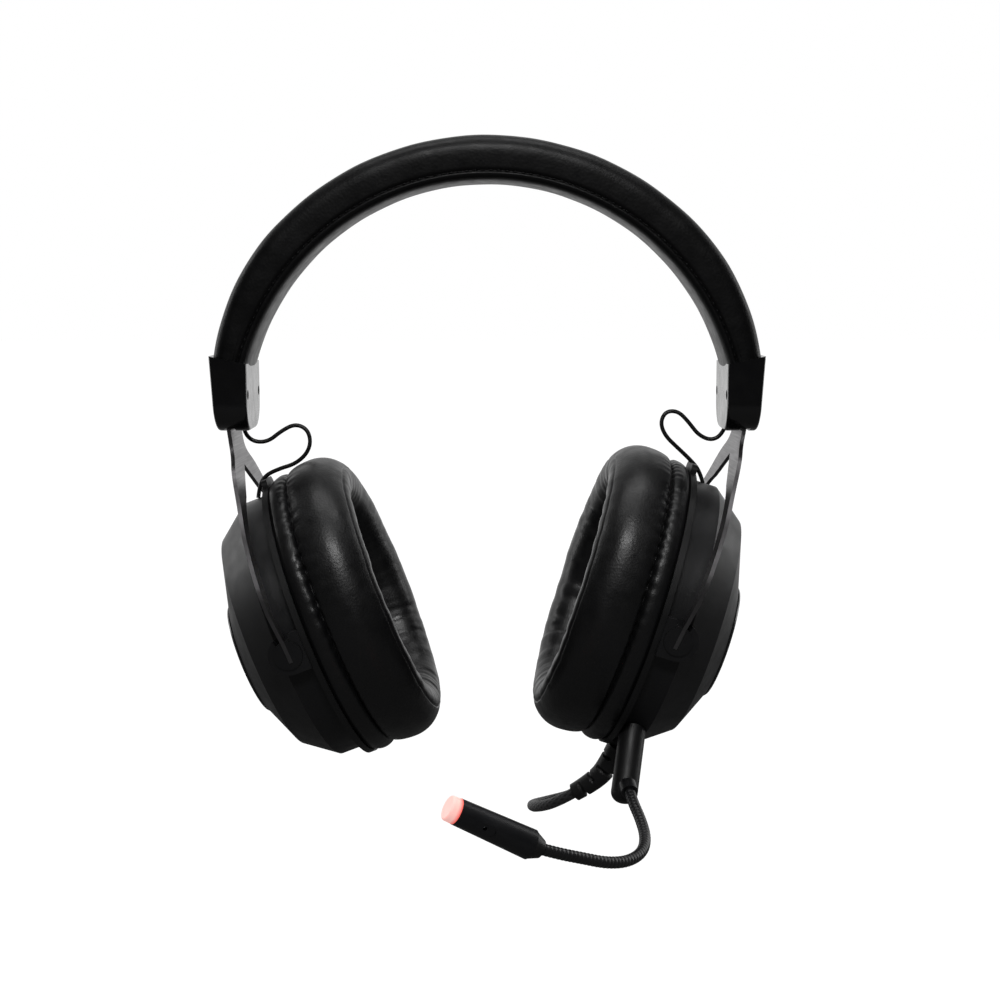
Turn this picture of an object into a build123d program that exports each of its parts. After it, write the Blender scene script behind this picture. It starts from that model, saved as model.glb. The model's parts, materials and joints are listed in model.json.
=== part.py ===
"""Over-ear gaming headset: padded headband, sliding yokes, tilting cups, boom microphone and cable.

Millimetres. The origin is the underside of the headband at the crown, where it rests on the head.
+Z is up, -Y is the way the wearer faces, and +X is the wearer's left.
"""

from build123d import *
import math
import os

os.makedirs("parts", exist_ok=True)

RIGHT_EAR, LEFT_EAR = -1, 1
SIDES = {"r": RIGHT_EAR, "l": LEFT_EAR}

# Headband: an outer outline of three tangent arcs over an inner circle.
BAND_THICK = 16.1
BAND_WIDTH = 31.0
BAND_TOP_RADIUS = 103.8
BAND_SIDE_RADIUS = 84.0
BAND_INNER_RADIUS = 87.7
BAND_ARC_CHANGE = 45.0
BAND_CENTRE_Z = BAND_THICK - BAND_TOP_RADIUS
BAND_OUTER_END_Z = -60.3
BAND_INNER_END_Z = -63.0
BAND_EDGE_RADIUS = 4.4
COVER_THICK = 1.2
SPRING_DEPTH = 9.0
SPRING_THICK = 1.2
SPRING_WIDTH = 14.0
SPRING_END_Z = -81.0
WIRE_THICK = 1.0
WIRE_WIDTH = 3.0
WIRE_END_Z = -62.0
WIRE_DEPTH = 6.6
SPRING_HOLE_RADIUS = 1.6
SPRING_PEG_RADIUS = 1.5
SPRING_PEG_LENGTH = 4.4

# End caps: two half shells around the band's end and the slider.
CAP_WIDTH = 33.0
CAP_INNER_X = 84.4
CAP_SEAM_X = 91.3
CAP_OUTER_TOP_X = 97.7
CAP_OUTER_BOTTOM_X = 96.0
CAP_TOP_OUTER_Z = -60.7
CAP_TOP_INNER_Z = -63.5
CAP_BOTTOM_Z = -87.6
CAP_CORNER_RADIUS = 10.0
CAP_WALL = 1.5
CAP_OPEN_LIFT = 5.0
CAP_SCREW_Y = 13.2
CAP_SCREW_Z = -74.4
CAP_SCREW_RADIUS = 1.0
CAP_SCREW_HEAD_RADIUS = 1.7
CAP_SCREW_HEAD_INSET = 1.0
CAP_SCREW_HEAD_THICK = 1.6
CAP_SCREW_LENGTH = 7.0
CAP_SCREW_HOLE_DEPTH = 10.0
CAP_BOSS_RADIUS = 2.2
CAP_EDGE_RADIUS = 1.2
CAP_EDGES_LEAN = 8
CAP_HALF_BLOCK = (20.0, 60.0)

# Yoke: a bent steel sheet that slides in the cap and forks around the cup.
SLIDE_EXIT_X = {"r": 91.8, "l": 91.2}
SLIDE_EXIT_Z = -86.2
SLIDE_LEAN = {"r": 8.0, "l": 10.0}
SIDE_YAW = 1.5
LEFT_RETRACTION = 4.0
SHEET_THICK = 1.4
STRIP_HALF_WIDTH = 10.3
SLOT_X = 91.5
SLOT_THICK = 3.8
SLOT_END_CLEARANCE = 1.2
SLOT_HEIGHT = 5.0
STRIP_TOP = 15.0
STRAIGHT_BELOW_EXIT = 5.0
BEND_RADIUS = 45.0
BEND_ANGLE = 9.0
LONG_BEND_RADIUS = 590.0
PIVOT_ALONG_SHEET = 79.0
NOTCH_Z = -14.5
ARM_TIP_BELOW_PIVOT = 2.8
FORK_SHOULDER = [(17.4, -14.0), (28.0, -25.5), (38.0, -36.0), (46.0, -50.0)]
FORK_UNDERSIDE_Y = (40.5, 34.0, 25.0, 15.0)
FORK_UNDERSIDE_OVAL = (45.0, 54.0)
ARM_WIDEST_Y = 48.6
ARM_INNER_Y = 44.7
ARM_TIP_Y = (41.9, 45.4)
ARM_NARROWS_ABOVE_PIVOT = 15.0
ARM_TIP_STARTS_ABOVE_PIVOT = (6.0, 4.0)

# Ear cups, measured from the tilt axis: x outward, z up along the cup.
CUP_TILT = {"r": 21.4, "l": 17.8}
CUP_CENTRE_Z = 1.5
RING_BACK_X = -8.1
RING_FRONT_X = -5.9
RING_SIZE = (44.0, 52.5)
HOUSING_SIZE = (40.5, 49.3)
BAND_FRONT_X = 3.8
SHOULDER_X = 15.5
SHOULDER_SIZE = (31.0, 40.7)
SHOULDER_DROP = 0.5
FACE_X = 22.5
FACE_SIZE = (17.0, 22.2)
FACE_DROP = 4.5
HOUSING_WALL = 2.0
PLATE_THICK = 1.4
PLATE_INSET = 1.0
PLATE_CHAMFER = 0.6
TAB_SIZE = (13.0, 5.0)
TAB_CORNER = 2.0
SCREW_SPOTS = [(-26.0, -31.5), (-26.0, 34.5), (26.0, -31.5), (26.0, 34.5)]
SCREW_POST_RADIUS = 2.4
SCREW_POST_LENGTH = 9.0
SCREW_RADIUS = 0.9
SCREW_LENGTH = 7.0
SCREW_HOLE_RADIUS = 1.15
SCREW_HEAD_RADIUS = 1.9
SCREW_HEAD_INSET = 0.2
SCREW_HEAD_THICK = 1.0
SCREW_RECESS_RADIUS = 2.0
PIVOT_RADIUS = 5.0
PIVOT_CLEARANCE = 0.06
PIVOT_INNER_Y = 41.1
PIVOT_OUTER_Y = 45.6
DISC_WEB_Y = 41.7
DISC_SLOT_RISE = 1.5
DISC_SLOT_LENGTH = 8.8
DISC_SLOT_CLEARANCE = 0.1
BOSS_RADIUS = 7.0
BOSS_INNER_Y = 38.6
BOSS_OUTER_Y = 45.0
SOCKET_FLOOR_Y = 41.0
ARM_SWEEP = [(-1.2, 0), (-3.8, 12), (5.4, 12), (1.2, 0)]

# Ear cushions.
SKIRT_DEPTH = 7.0
CUSHION_DEPTH = 28.0
SKIRT_SIZE = (42.6, 51.2)
ROLL_SIZE = (44.0, 53.2)
ROLL_RISE = 1.5
OPENING_SIZE = (25.0, 34.0)
ROLL_STATIONS = [(0, 3.0), (3.5, 0.4), (8, 0), (13, 0.4), (18, 3.2), (CUSHION_DEPTH - SKIRT_DEPTH, 9)]

# Drivers.
DRIVER_RADIUS = 20.0
DRIVER_DEPTH = 5.0
MAGNET_RADIUS = 11.0
MAGNET_DEPTH = 6.0
DRIVER_WALL = 1.2
BAFFLE_LIP = 2.5
CONE_SETBACK = 1.0
CONE_THICK = 0.4
DOME_RADIUS = 11.0
DOME_SETBACK = 0.6
DOME_THICK = 1.2
CLOTH_THICK = 0.8
CLOTH_OVERLAP = 2.0

# Control board, behind the left driver.
BOARD_X = 6.6
BOARD_DROP = 16.0
BOARD_SIZE = (34.0, 18.0, 1.2)
CHIP_SIZE = (6.0, 6.0, 1.0)
CHIP_Y = 8.0

# Boom microphone, on the left cup.
POST_ROOT = (52.2, -21.9, -189.9)
POST_END = (47.4, -37.6, -215.2)
POST_RADIUS = 4.7
POST_END_RADIUS = 3.76
COLLAR_WALL = 1.1
COLLAR_SETBACK = 1.0
COLLAR_LENGTH = 4.2
GOOSENECK_RADIUS = 1.9
GOOSENECK_ROUTE = [
    (48.9, -39.5, -208.6),
    (49.9, -46.5, -211.6),
    (52.2, -54.5, -215.6),
    (53.2, -63.5, -218.9),
    (51.4, -72.5, -220.8),
    (46.0, -80.5, -221.1),
    (38.6, -86.5, -219.4),
    (30.2, -91.2, -216.0),
    (23.0, -95.2, -213.2),
    (17.4, -97.6, -210.8),
]
MIC_REAR = (16.0, -98.1, -210.1)
MIC_TIP = (-11.7, -106.0, -194.6)
MIC_REAR_RADIUS = 4.9
MIC_TIP_RADIUS = 4.2
MIC_TIP_LENGTH = 3.4
MIC_COLLAR_LENGTH = 2.4
MIC_COLLAR_OVERHANG = 1.5
MIC_COLLAR_REAR_RADIUS = 3.0
MIC_COLLAR_STEP = 0.15
MIC_COLLAR_CLEARANCE = 0.4
MIC_COLLAR_BORE_DEPTH = 2.0
MIC_FLOOR = 1.2
MIC_WALL = 0.9
SOUND_HOLE_ALONG = 20.0
SOUND_HOLE_RADIUS = 0.7
SOUND_PATCH_SIZE = (3.8, 2.2)
SOUND_PATCH_DEPTH = 0.3
MIC_CAPSULE_ALONG = 17.0
MIC_CAPSULE_RADIUS = 3.0
MIC_CAPSULE_LENGTH = 6.0
MIC_TIP_STEP = 0.1
MIC_TIP_ROUNDING = 0.8
MIC_SPIGOT_LENGTH = 2.5
MIC_SPIGOT_CLEARANCE = 0.05
LED_BOARD_SETBACK = 4.1
LED_BOARD_RADIUS = 3.1
LED_BOARD_THICK = 1.0

# Leads from the caps to the cups.
LEAD_RADIUS = 0.75
LEAD_HOLE_RADIUS = 1.6
LEAD_ROUTE = {
    "r": [
        (-88.6, 0, -85.5), (-87.9, 0, -89.2), (-84.6, 0, -92.3), (-79.4, 0, -92.2), (-74.6, 0.4, -88.3),
        (-69.7, 0.8, -85.8), (-65.3, 0.6, -87.6), (-63.9, 0, -92.3), (-65.6, -0.4, -96.8),
        (-69.9, -0.6, -100.3), (-75.2, -0.4, -101.9), (-80.3, 0, -104.2), (-82.9, 0.3, -108.0),
        (-83.4, 0.2, -112.7),
    ],
    "l": [
        (86.4, 0, -85.5), (84.9, 0, -89.6), (81.0, 0, -91.8), (76.3, 0, -89.8), (72.8, 0.4, -85.2),
        (69.0, 0.8, -81.2), (64.4, 0.6, -81.2), (62.4, 0, -85.3), (64.2, -0.4, -90.0),
        (68.6, -0.4, -94.2), (72.9, 0, -98.2), (76.9, 0.2, -102.6), (78.2, 0.2, -107.3),
    ],
}

# Cable: strain relief under the left cup, a run that turns back under it, and the rest coiled.
CABLE_RADIUS = 2.0
RELIEF_RADIUS = 3.75
RELIEF_ROUTE = [(50.4, -5.0, -199.8), (45.0, -3.2, -211.6), (39.2, -1.4, -218.7), (32.0, 0.2, -223.4)]
CABLE_ROUTE = [
    (32.0, 0.2, -223.4),
    (25.1, 1.8, -227.9),
    (17.9, 8.6, -231.8),
    (16.2, 19.6, -234.3),
    (22.5, 29.5, -236.0),
    (33.5, 36.5, -235.5),
    (44.5, 44.0, -231.0),
    (53.0, 52.0, -220.0),
    (57.3, 58.2, -206.0),
    (58.9, 61.6, -191.6),
]
TAIL_ROUTE = [
    (49.5, 67.5, -188.0),
    (58.5, 73.0, -194.6),
    (68.5, 76.0, -197.6),
    (78.4, 76.6, -194.0),
    (84.4, 77.0, -185.4),
    (84.4, 77.0, -175.4),
]
COIL_CENTRE = (61.2, 63.5, -162.4)
COIL_MEAN_RADIUS = 24.0
COIL_RADIAL_TURNS = 3
COIL_AXIAL_TURNS = 4
TIE_WIDTH = 9.0
TIE_THICK = (2.2, 1.3)
TIE_CORNER = 1.5
TIE_CLEARANCE = 0.1

# USB plug, lying behind the coil.
PLUG_BODY_SIZE = (15.6, 7.6, 34.0)
PLUG_SHELL_SIZE = (12.0, 4.5, 18.8)
PLUG_SHELL_WALL = 0.4
PLUG_CORNER = 2.2
PLUG_END_ROUNDING = 0.8
TONGUE_THICK = 1.8
TONGUE_SETBACK = 0.6


def write(builder, name):
    """Label a finished piece and write its STEP file."""
    builder.part.label = name
    export_step(builder.part, f"parts/{name}.step")


def unit(vector):
    return vector * (1 / vector.length)


def leaning_plane(side, origin, lean, yaw):
    """x points outward, z up along a line that leans outward by lean, yawed about that line."""
    up = Vector(side * math.sin(math.radians(lean)), 0, math.cos(math.radians(lean)))
    flat_out = Vector(side * math.cos(math.radians(lean)), 0, -math.sin(math.radians(lean)))
    out = flat_out * math.cos(math.radians(yaw)) + Vector(0, 1, 0) * math.sin(math.radians(yaw))
    return Plane(origin=origin, x_dir=out, z_dir=up)


def turned_plane(plane, origin, degrees):
    """A plane turned about its own y axis, so that its z leans further outward."""
    c, s = math.cos(math.radians(degrees)), math.sin(math.radians(degrees))
    return Plane(
        origin=origin,
        x_dir=plane.x_dir * c - plane.z_dir * s,
        z_dir=plane.z_dir * c + plane.x_dir * s,
    )


def sheet_at(s, offset=0.0):
    """The yoke sheet's (x, z) at a distance s below the cap's exit, and offset outward from its middle."""
    bend = math.radians(BEND_ANGLE)
    s_bend = STRAIGHT_BELOW_EXIT + BEND_RADIUS * bend
    if s <= STRAIGHT_BELOW_EXIT:
        turn, x, z = 0.0, 0.0, -s
    elif s <= s_bend:
        turn = (s - STRAIGHT_BELOW_EXIT) / BEND_RADIUS
        x = -BEND_RADIUS * (1 - math.cos(turn))
        z = -STRAIGHT_BELOW_EXIT - BEND_RADIUS * math.sin(turn)
    else:
        turn = bend + (s - s_bend) / LONG_BEND_RADIUS
        x = -BEND_RADIUS * (1 - math.cos(bend)) - LONG_BEND_RADIUS * (math.cos(bend) - math.cos(turn))
        z = -STRAIGHT_BELOW_EXIT - BEND_RADIUS * math.sin(bend)
        z -= LONG_BEND_RADIUS * (math.sin(turn) - math.sin(bend))
    return x + offset * math.cos(turn), z - offset * math.sin(turn)


def yoke_plane(key):
    """The plane at the slider's exit from its cap, moved up along the slide on the left side."""
    side = SIDES[key]
    exit_point = Vector(side * SLIDE_EXIT_X[key], 0, SLIDE_EXIT_Z)
    plane = leaning_plane(side, exit_point, SLIDE_LEAN[key], SIDE_YAW)
    lift = LEFT_RETRACTION if key == "l" else 0.0
    return plane.offset(lift)


def cup_plane(key):
    """The plane at the cup's tilt axis: its y axis is the axis, and its x axis points outward."""
    yoke = yoke_plane(key)
    x, z = sheet_at(PIVOT_ALONG_SHEET)
    pivot = yoke.origin + yoke.x_dir * x + yoke.z_dir * z
    return turned_plane(yoke, pivot, CUP_TILT[key] - SLIDE_LEAN[key])


def across(plane, x):
    """A sketch plane square to a side plane's x axis, with y and z as the sketch's axes."""
    return Plane(origin=plane.origin + plane.x_dir * x, x_dir=plane.y_dir, z_dir=plane.x_dir)


def along_y(plane, y):
    """A sketch plane square to a side plane's y axis, with x and z as the sketch's axes."""
    return Plane(origin=plane.origin + plane.y_dir * y, x_dir=plane.x_dir, z_dir=plane.y_dir * -1)


# ---------------------------------------------------------------- headband


def band_side_centre():
    reach = (BAND_TOP_RADIUS - BAND_SIDE_RADIUS) * math.sin(math.radians(BAND_ARC_CHANGE))
    return reach, BAND_CENTRE_Z + reach


def outer_point(radius_inset, angle):
    """A point of the outer outline's top arc, by its angle from straight up."""
    r = BAND_TOP_RADIUS - radius_inset
    return r * math.sin(math.radians(angle)), BAND_CENTRE_Z + r * math.cos(math.radians(angle))


def side_point(radius_inset, z):
    """A point of the outer outline's side arc, by its height."""
    x0, z0 = band_side_centre()
    r = BAND_SIDE_RADIUS - radius_inset
    return x0 + math.sqrt(r * r - (z - z0) ** 2), z


def inner_point(inset, z):
    r = BAND_INNER_RADIUS + inset
    return math.sqrt(r * r - (z - BAND_CENTRE_Z) ** 2), z


def flipped(point):
    return -point[0], point[1]


def band_outline(outer_inset, inner_inset, outer_end_z, inner_end_z):
    """The band's outline seen from the front, drawn inside a BuildSketch."""
    change = outer_point(outer_inset, BAND_ARC_CHANGE)
    half_way = (change[1] + outer_end_z) / 2
    side_mid = side_point(outer_inset, half_way)
    outer_end = side_point(outer_inset, outer_end_z)
    inner_end = inner_point(inner_inset, inner_end_z)
    top = outer_point(outer_inset, 0)
    under = (0, BAND_CENTRE_Z + BAND_INNER_RADIUS + inner_inset)
    with BuildLine() as edge:
        ThreePointArc(flipped(change), top, change)
        ThreePointArc(change, side_mid, outer_end)
        Line(outer_end, inner_end)
        ThreePointArc(inner_end, under, flipped(inner_end))
        Line(flipped(inner_end), flipped(outer_end))
        ThreePointArc(flipped(outer_end), flipped(side_mid), flipped(change))
    make_face(edge.edges())


def band_blank(inset, overrun):
    """The whole band drawn inset from its cover, and longer at both ends by overrun."""
    with BuildPart() as blank:
        with BuildSketch(Plane.XZ):
            band_outline(inset, inset, BAND_OUTER_END_Z - overrun, BAND_INNER_END_Z - overrun)
        extrude(amount=BAND_WIDTH / 2 - inset, both=True)
        fillet(blank.edges().filter_by(GeomType.CIRCLE), BAND_EDGE_RADIUS - inset)
    return blank.part


def strip_blank(depth, thick, width, end_z):
    """A strip that follows the outer outline at a depth below it."""
    with BuildPart() as strip:
        with BuildSketch(Plane.XZ):
            with BuildLine():
                for inset in (depth, depth + thick):
                    change = outer_point(inset, BAND_ARC_CHANGE)
                    mid = side_point(inset, (change[1] + end_z) / 2)
                    end = side_point(inset, end_z)
                    ThreePointArc(flipped(change), outer_point(inset, 0), change)
                    ThreePointArc(change, mid, end)
                    ThreePointArc(flipped(change), flipped(mid), flipped(end))
                outer_end, inner_end = side_point(depth, end_z), side_point(depth + thick, end_z)
                Line(outer_end, inner_end)
                Line(flipped(outer_end), flipped(inner_end))
            make_face()
        extrude(amount=width / 2, both=True)
    return strip.part


with BuildPart() as headband_cover:
    add(band_blank(0, 0))
    add(band_blank(COVER_THICK, 2), mode=Mode.SUBTRACT)
write(headband_cover, "headband_cover")

with BuildPart() as band_spring:
    add(strip_blank(SPRING_DEPTH, SPRING_THICK, SPRING_WIDTH, SPRING_END_Z))
    with BuildSketch(Plane.YZ):
        with Locations((0, CAP_SCREW_Z)):
            Circle(SPRING_HOLE_RADIUS)
    extrude(amount=CAP_OUTER_TOP_X, both=True, mode=Mode.SUBTRACT)
write(band_spring, "band_spring")

with BuildPart() as bridge_wire:
    add(strip_blank(WIRE_DEPTH, WIRE_THICK, WIRE_WIDTH, WIRE_END_Z))
write(bridge_wire, "bridge_wire")

with BuildPart() as headband_foam:
    add(band_blank(COVER_THICK, 0))
    add(strip_blank(SPRING_DEPTH, SPRING_THICK, SPRING_WIDTH, SPRING_END_Z), mode=Mode.SUBTRACT)
    add(strip_blank(WIRE_DEPTH, WIRE_THICK, WIRE_WIDTH, WIRE_END_Z), mode=Mode.SUBTRACT)
write(headband_foam, "headband_foam")

# ---------------------------------------------------------------- end caps


def cap_block(side, inset):
    """One cap as a solid block, or its cavity drawn in by inset and running out through the top."""
    half_width = CAP_WIDTH / 2 - inset
    lift = CAP_OPEN_LIFT if inset else 0.0
    with BuildPart() as block:
        with BuildSketch(Plane.XZ):
            with BuildLine():
                Polyline(
                    (side * (CAP_INNER_X + inset), CAP_BOTTOM_Z + inset),
                    (side * (CAP_OUTER_BOTTOM_X - inset), CAP_BOTTOM_Z + inset),
                    (side * (CAP_OUTER_TOP_X - inset), CAP_TOP_OUTER_Z + lift),
                    (side * (CAP_INNER_X + inset), CAP_TOP_INNER_Z + lift),
                    close=True,
                )
            make_face()
        extrude(amount=half_width, both=True)
        lower = block.edges().filter_by(Axis.X, tolerance=CAP_EDGES_LEAN).group_by(Axis.Z)[0]
        fillet(lower, CAP_CORNER_RADIUS - inset)
        if inset == 0:
            around = block.faces().filter_by(Axis.X, tolerance=CAP_EDGES_LEAN).edges()
            fillet(around.filter_by(lambda e: e.center().Z < CAP_TOP_INNER_Z - 3), CAP_EDGE_RADIUS)
    return block.part


def cap_post(x, spots, radius, length):
    """Round posts, or holes when subtracted, running along x from a cap's inside."""
    with BuildPart() as posts:
        with BuildSketch(Plane.YZ.offset(x)):
            with Locations(*spots):
                Circle(radius)
        extrude(amount=length)
    return posts.part


CAP_SCREW_SPOTS = [(-CAP_SCREW_Y, CAP_SCREW_Z), (CAP_SCREW_Y, CAP_SCREW_Z)]


def cap_half(key, outer):
    """The outer or the inner half shell of a cap, with the slider's slot and the screw bosses."""
    side = SIDES[key]
    keep = 1 if outer else -1
    block_x = CAP_SEAM_X + keep * CAP_HALF_BLOCK[0] / 2
    inside_x = CAP_INNER_X + CAP_WALL
    head_depth = CAP_SCREW_HEAD_INSET + CAP_SCREW_HEAD_THICK
    boss_length = CAP_OUTER_BOTTOM_X - CAP_WALL - inside_x
    with BuildPart() as half:
        add(cap_block(side, 0))
        add(cap_block(side, CAP_WALL), mode=Mode.SUBTRACT)
        with BuildSketch(Plane.XY.offset(CAP_BOTTOM_Z - 1)):
            with Locations((side * SLOT_X, 0)):
                Rectangle(SLOT_THICK, 2 * STRIP_HALF_WIDTH + SLOT_END_CLEARANCE)
        extrude(amount=SLOT_HEIGHT, mode=Mode.SUBTRACT)
        add(cap_post(side * inside_x, CAP_SCREW_SPOTS, CAP_BOSS_RADIUS, side * boss_length))
        hole = cap_post(side * CAP_INNER_X, CAP_SCREW_SPOTS, CAP_SCREW_RADIUS, side * CAP_SCREW_HOLE_DEPTH)
        add(hole, mode=Mode.SUBTRACT)
        recess = cap_post(side * CAP_INNER_X, CAP_SCREW_SPOTS, CAP_SCREW_HEAD_RADIUS, side * head_depth)
        add(recess, mode=Mode.SUBTRACT)
        if not outer:
            add(cap_post(side * inside_x, [(0, CAP_SCREW_Z)], SPRING_PEG_RADIUS, side * SPRING_PEG_LENGTH))
            with BuildSketch(Plane.XY.offset(CAP_BOTTOM_Z - 1)):
                with Locations((LEAD_ROUTE[key][0][0], 0)):
                    Circle(LEAD_HOLE_RADIUS)
            extrude(amount=CAP_WALL + 2, mode=Mode.SUBTRACT)
        with BuildSketch(Plane.XZ):
            with Locations((side * block_x, CAP_SCREW_Z)):
                Rectangle(*CAP_HALF_BLOCK)
        extrude(amount=CAP_WIDTH, both=True, mode=Mode.INTERSECT)
    return half.part


for key, side in SIDES.items():
    with BuildPart() as cap_outer:
        add(cap_half(key, outer=True))
    write(cap_outer, f"cap_outer_{key}")

    with BuildPart() as cap_inner:
        add(cap_half(key, outer=False))
    write(cap_inner, f"cap_inner_{key}")

    head_x = CAP_INNER_X + CAP_SCREW_HEAD_INSET
    shank_x = head_x + CAP_SCREW_HEAD_THICK
    with BuildPart() as cap_screws:
        add(cap_post(side * head_x, CAP_SCREW_SPOTS, CAP_SCREW_HEAD_RADIUS, side * CAP_SCREW_HEAD_THICK))
        add(cap_post(side * shank_x, CAP_SCREW_SPOTS, CAP_SCREW_RADIUS, side * CAP_SCREW_LENGTH))
    write(cap_screws, f"cap_screws_{key}")

# ---------------------------------------------------------------- yokes and pivots


def sheet_profile():
    """The bent sheet seen edge on, drawn inside a BuildSketch on a plane square to y."""
    half = SHEET_THICK / 2
    s_bend = STRAIGHT_BELOW_EXIT + BEND_RADIUS * math.radians(BEND_ANGLE)
    s_tip = PIVOT_ALONG_SHEET + ARM_TIP_BELOW_PIVOT
    with BuildLine() as edge:
        for offset in (-half, half):
            Line(sheet_at(-STRIP_TOP, offset), sheet_at(STRAIGHT_BELOW_EXIT, offset))
            for start, end in ((STRAIGHT_BELOW_EXIT, s_bend), (s_bend, s_tip)):
                middle = sheet_at((start + end) / 2, offset)
                ThreePointArc(sheet_at(start, offset), middle, sheet_at(end, offset))
        Line(sheet_at(-STRIP_TOP, -half), sheet_at(-STRIP_TOP, half))
        Line(sheet_at(s_tip, -half), sheet_at(s_tip, half))
    make_face(edge.edges())


def fork_outline():
    """The flat outline of strip and fork, drawn inside a BuildSketch as one half and its mirror."""
    pivot_z = sheet_at(PIVOT_ALONG_SHEET)[1]
    tip_z = pivot_z - ARM_TIP_BELOW_PIVOT - 1
    narrows_z = pivot_z + ARM_NARROWS_ABOVE_PIVOT
    inner_z, outer_z = (pivot_z + above for above in ARM_TIP_STARTS_ABOVE_PIVOT)
    oval_y, oval_z = FORK_UNDERSIDE_OVAL
    underside = []
    for y in FORK_UNDERSIDE_Y:
        underside.append((y, pivot_z + CUP_CENTRE_Z + oval_z * math.sqrt(1 - (y / oval_y) ** 2)))
    with BuildLine() as edge:
        Line((0, STRIP_TOP), (STRIP_HALF_WIDTH, STRIP_TOP))
        Line((STRIP_HALF_WIDTH, STRIP_TOP), (STRIP_HALF_WIDTH, -STRAIGHT_BELOW_EXIT))
        Spline(
            (STRIP_HALF_WIDTH, -STRAIGHT_BELOW_EXIT), *FORK_SHOULDER, (ARM_WIDEST_Y, narrows_z),
            tangents=[(0, -1), (0, -1)],
        )
        Polyline(
            (ARM_WIDEST_Y, narrows_z), (ARM_TIP_Y[1], outer_z), (ARM_TIP_Y[1], tip_z),
            (ARM_TIP_Y[0], tip_z), (ARM_TIP_Y[0], inner_z),
        )
        Line((ARM_TIP_Y[0], inner_z), (ARM_INNER_Y, narrows_z))
        Spline((ARM_INNER_Y, narrows_z), *underside)
        Line(underside[-1], (0, NOTCH_Z))
        Line((0, NOTCH_Z), (0, STRIP_TOP))
    make_face(edge.edges())
    mirror(about=Plane.YZ)


for key in SIDES:
    frame = yoke_plane(key)
    with BuildPart() as yoke:
        with BuildSketch(along_y(frame, 0)):
            sheet_profile()
        extrude(amount=50, both=True)
        with BuildSketch(across(frame, 0)):
            fork_outline()
        extrude(amount=30, both=True, mode=Mode.INTERSECT)
    write(yoke, f"yoke_{key}")

    long_bend = PIVOT_ALONG_SHEET - STRAIGHT_BELOW_EXIT - BEND_RADIUS * math.radians(BEND_ANGLE)
    sheet_lean = BEND_ANGLE + math.degrees(long_bend / LONG_BEND_RADIUS)
    disc_frame = turned_plane(frame, cup_plane(key).origin, sheet_lean)
    for end, way in (("front", -1), ("rear", 1)):
        with BuildPart() as disc:
            with BuildSketch(along_y(disc_frame, way * PIVOT_INNER_Y)):
                Circle(PIVOT_RADIUS)
            extrude(amount=-way * (PIVOT_OUTER_Y - PIVOT_INNER_Y))
            with BuildSketch(along_y(disc_frame, way * DISC_WEB_Y)):
                with Locations((0, DISC_SLOT_RISE)):
                    Rectangle(SHEET_THICK + DISC_SLOT_CLEARANCE, DISC_SLOT_LENGTH)
            extrude(amount=-way * 10, mode=Mode.SUBTRACT)
        write(disc, f"pivot_{end}_{key}")

# ---------------------------------------------------------------- ear cups


def oval(size, rise=0.0):
    with Locations((0, CUP_CENTRE_Z + rise)):
        Ellipse(size[0], size[1])


def baffle_outline():
    """The baffle's rim, with the tab at its top where the lead goes in."""
    oval(RING_SIZE)
    with Locations((0, CUP_CENTRE_Z + RING_SIZE[1])):
        RectangleRounded(*TAB_SIZE, TAB_CORNER)


def inside_of(size, wall):
    return size[0] - wall, size[1] - wall


def housing_blank(frame, wall):
    """The cup's outer shape, or its cavity when wall isn't 0."""
    with BuildPart() as blank:
        with BuildSketch(across(frame, RING_FRONT_X)):
            oval(inside_of(HOUSING_SIZE, wall))
        extrude(amount=BAND_FRONT_X - RING_FRONT_X - wall * 0.4)
        with BuildSketch(across(frame, BAND_FRONT_X - wall * 0.4)):
            oval(inside_of(HOUSING_SIZE, wall))
        with BuildSketch(across(frame, SHOULDER_X - wall * 0.8)):
            oval(inside_of(SHOULDER_SIZE, wall), -SHOULDER_DROP)
        with BuildSketch(across(frame, FACE_X - wall)):
            oval(inside_of(FACE_SIZE, wall * 0.8), -FACE_DROP)
        loft(ruled=True)
    return blank.part


def cushion_part(frame):
    """A skirt against the baffle, a fat roll beyond it, and the opening for the ear through both."""
    with BuildPart() as cushion:
        with BuildSketch(across(frame, RING_BACK_X)):
            oval(SKIRT_SIZE)
        extrude(amount=-SKIRT_DEPTH)
        for depth, inset in ROLL_STATIONS:
            with BuildSketch(across(frame, RING_BACK_X - SKIRT_DEPTH - depth)):
                oval(inside_of(ROLL_SIZE, inset), ROLL_RISE)
        loft(ruled=True)
        with BuildSketch(across(frame, RING_BACK_X)):
            oval(OPENING_SIZE, ROLL_RISE / 2)
        extrude(amount=-CUSHION_DEPTH, mode=Mode.SUBTRACT)
    return cushion.part


def discs(frame, x, spots, radius, length):
    """Round bars, or holes when subtracted, square to a cup and starting x out from its tilt axis."""
    with BuildPart() as bars:
        with BuildSketch(across(frame, x)):
            with Locations(*spots):
                Circle(radius)
        extrude(amount=length)
    return bars.part


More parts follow.
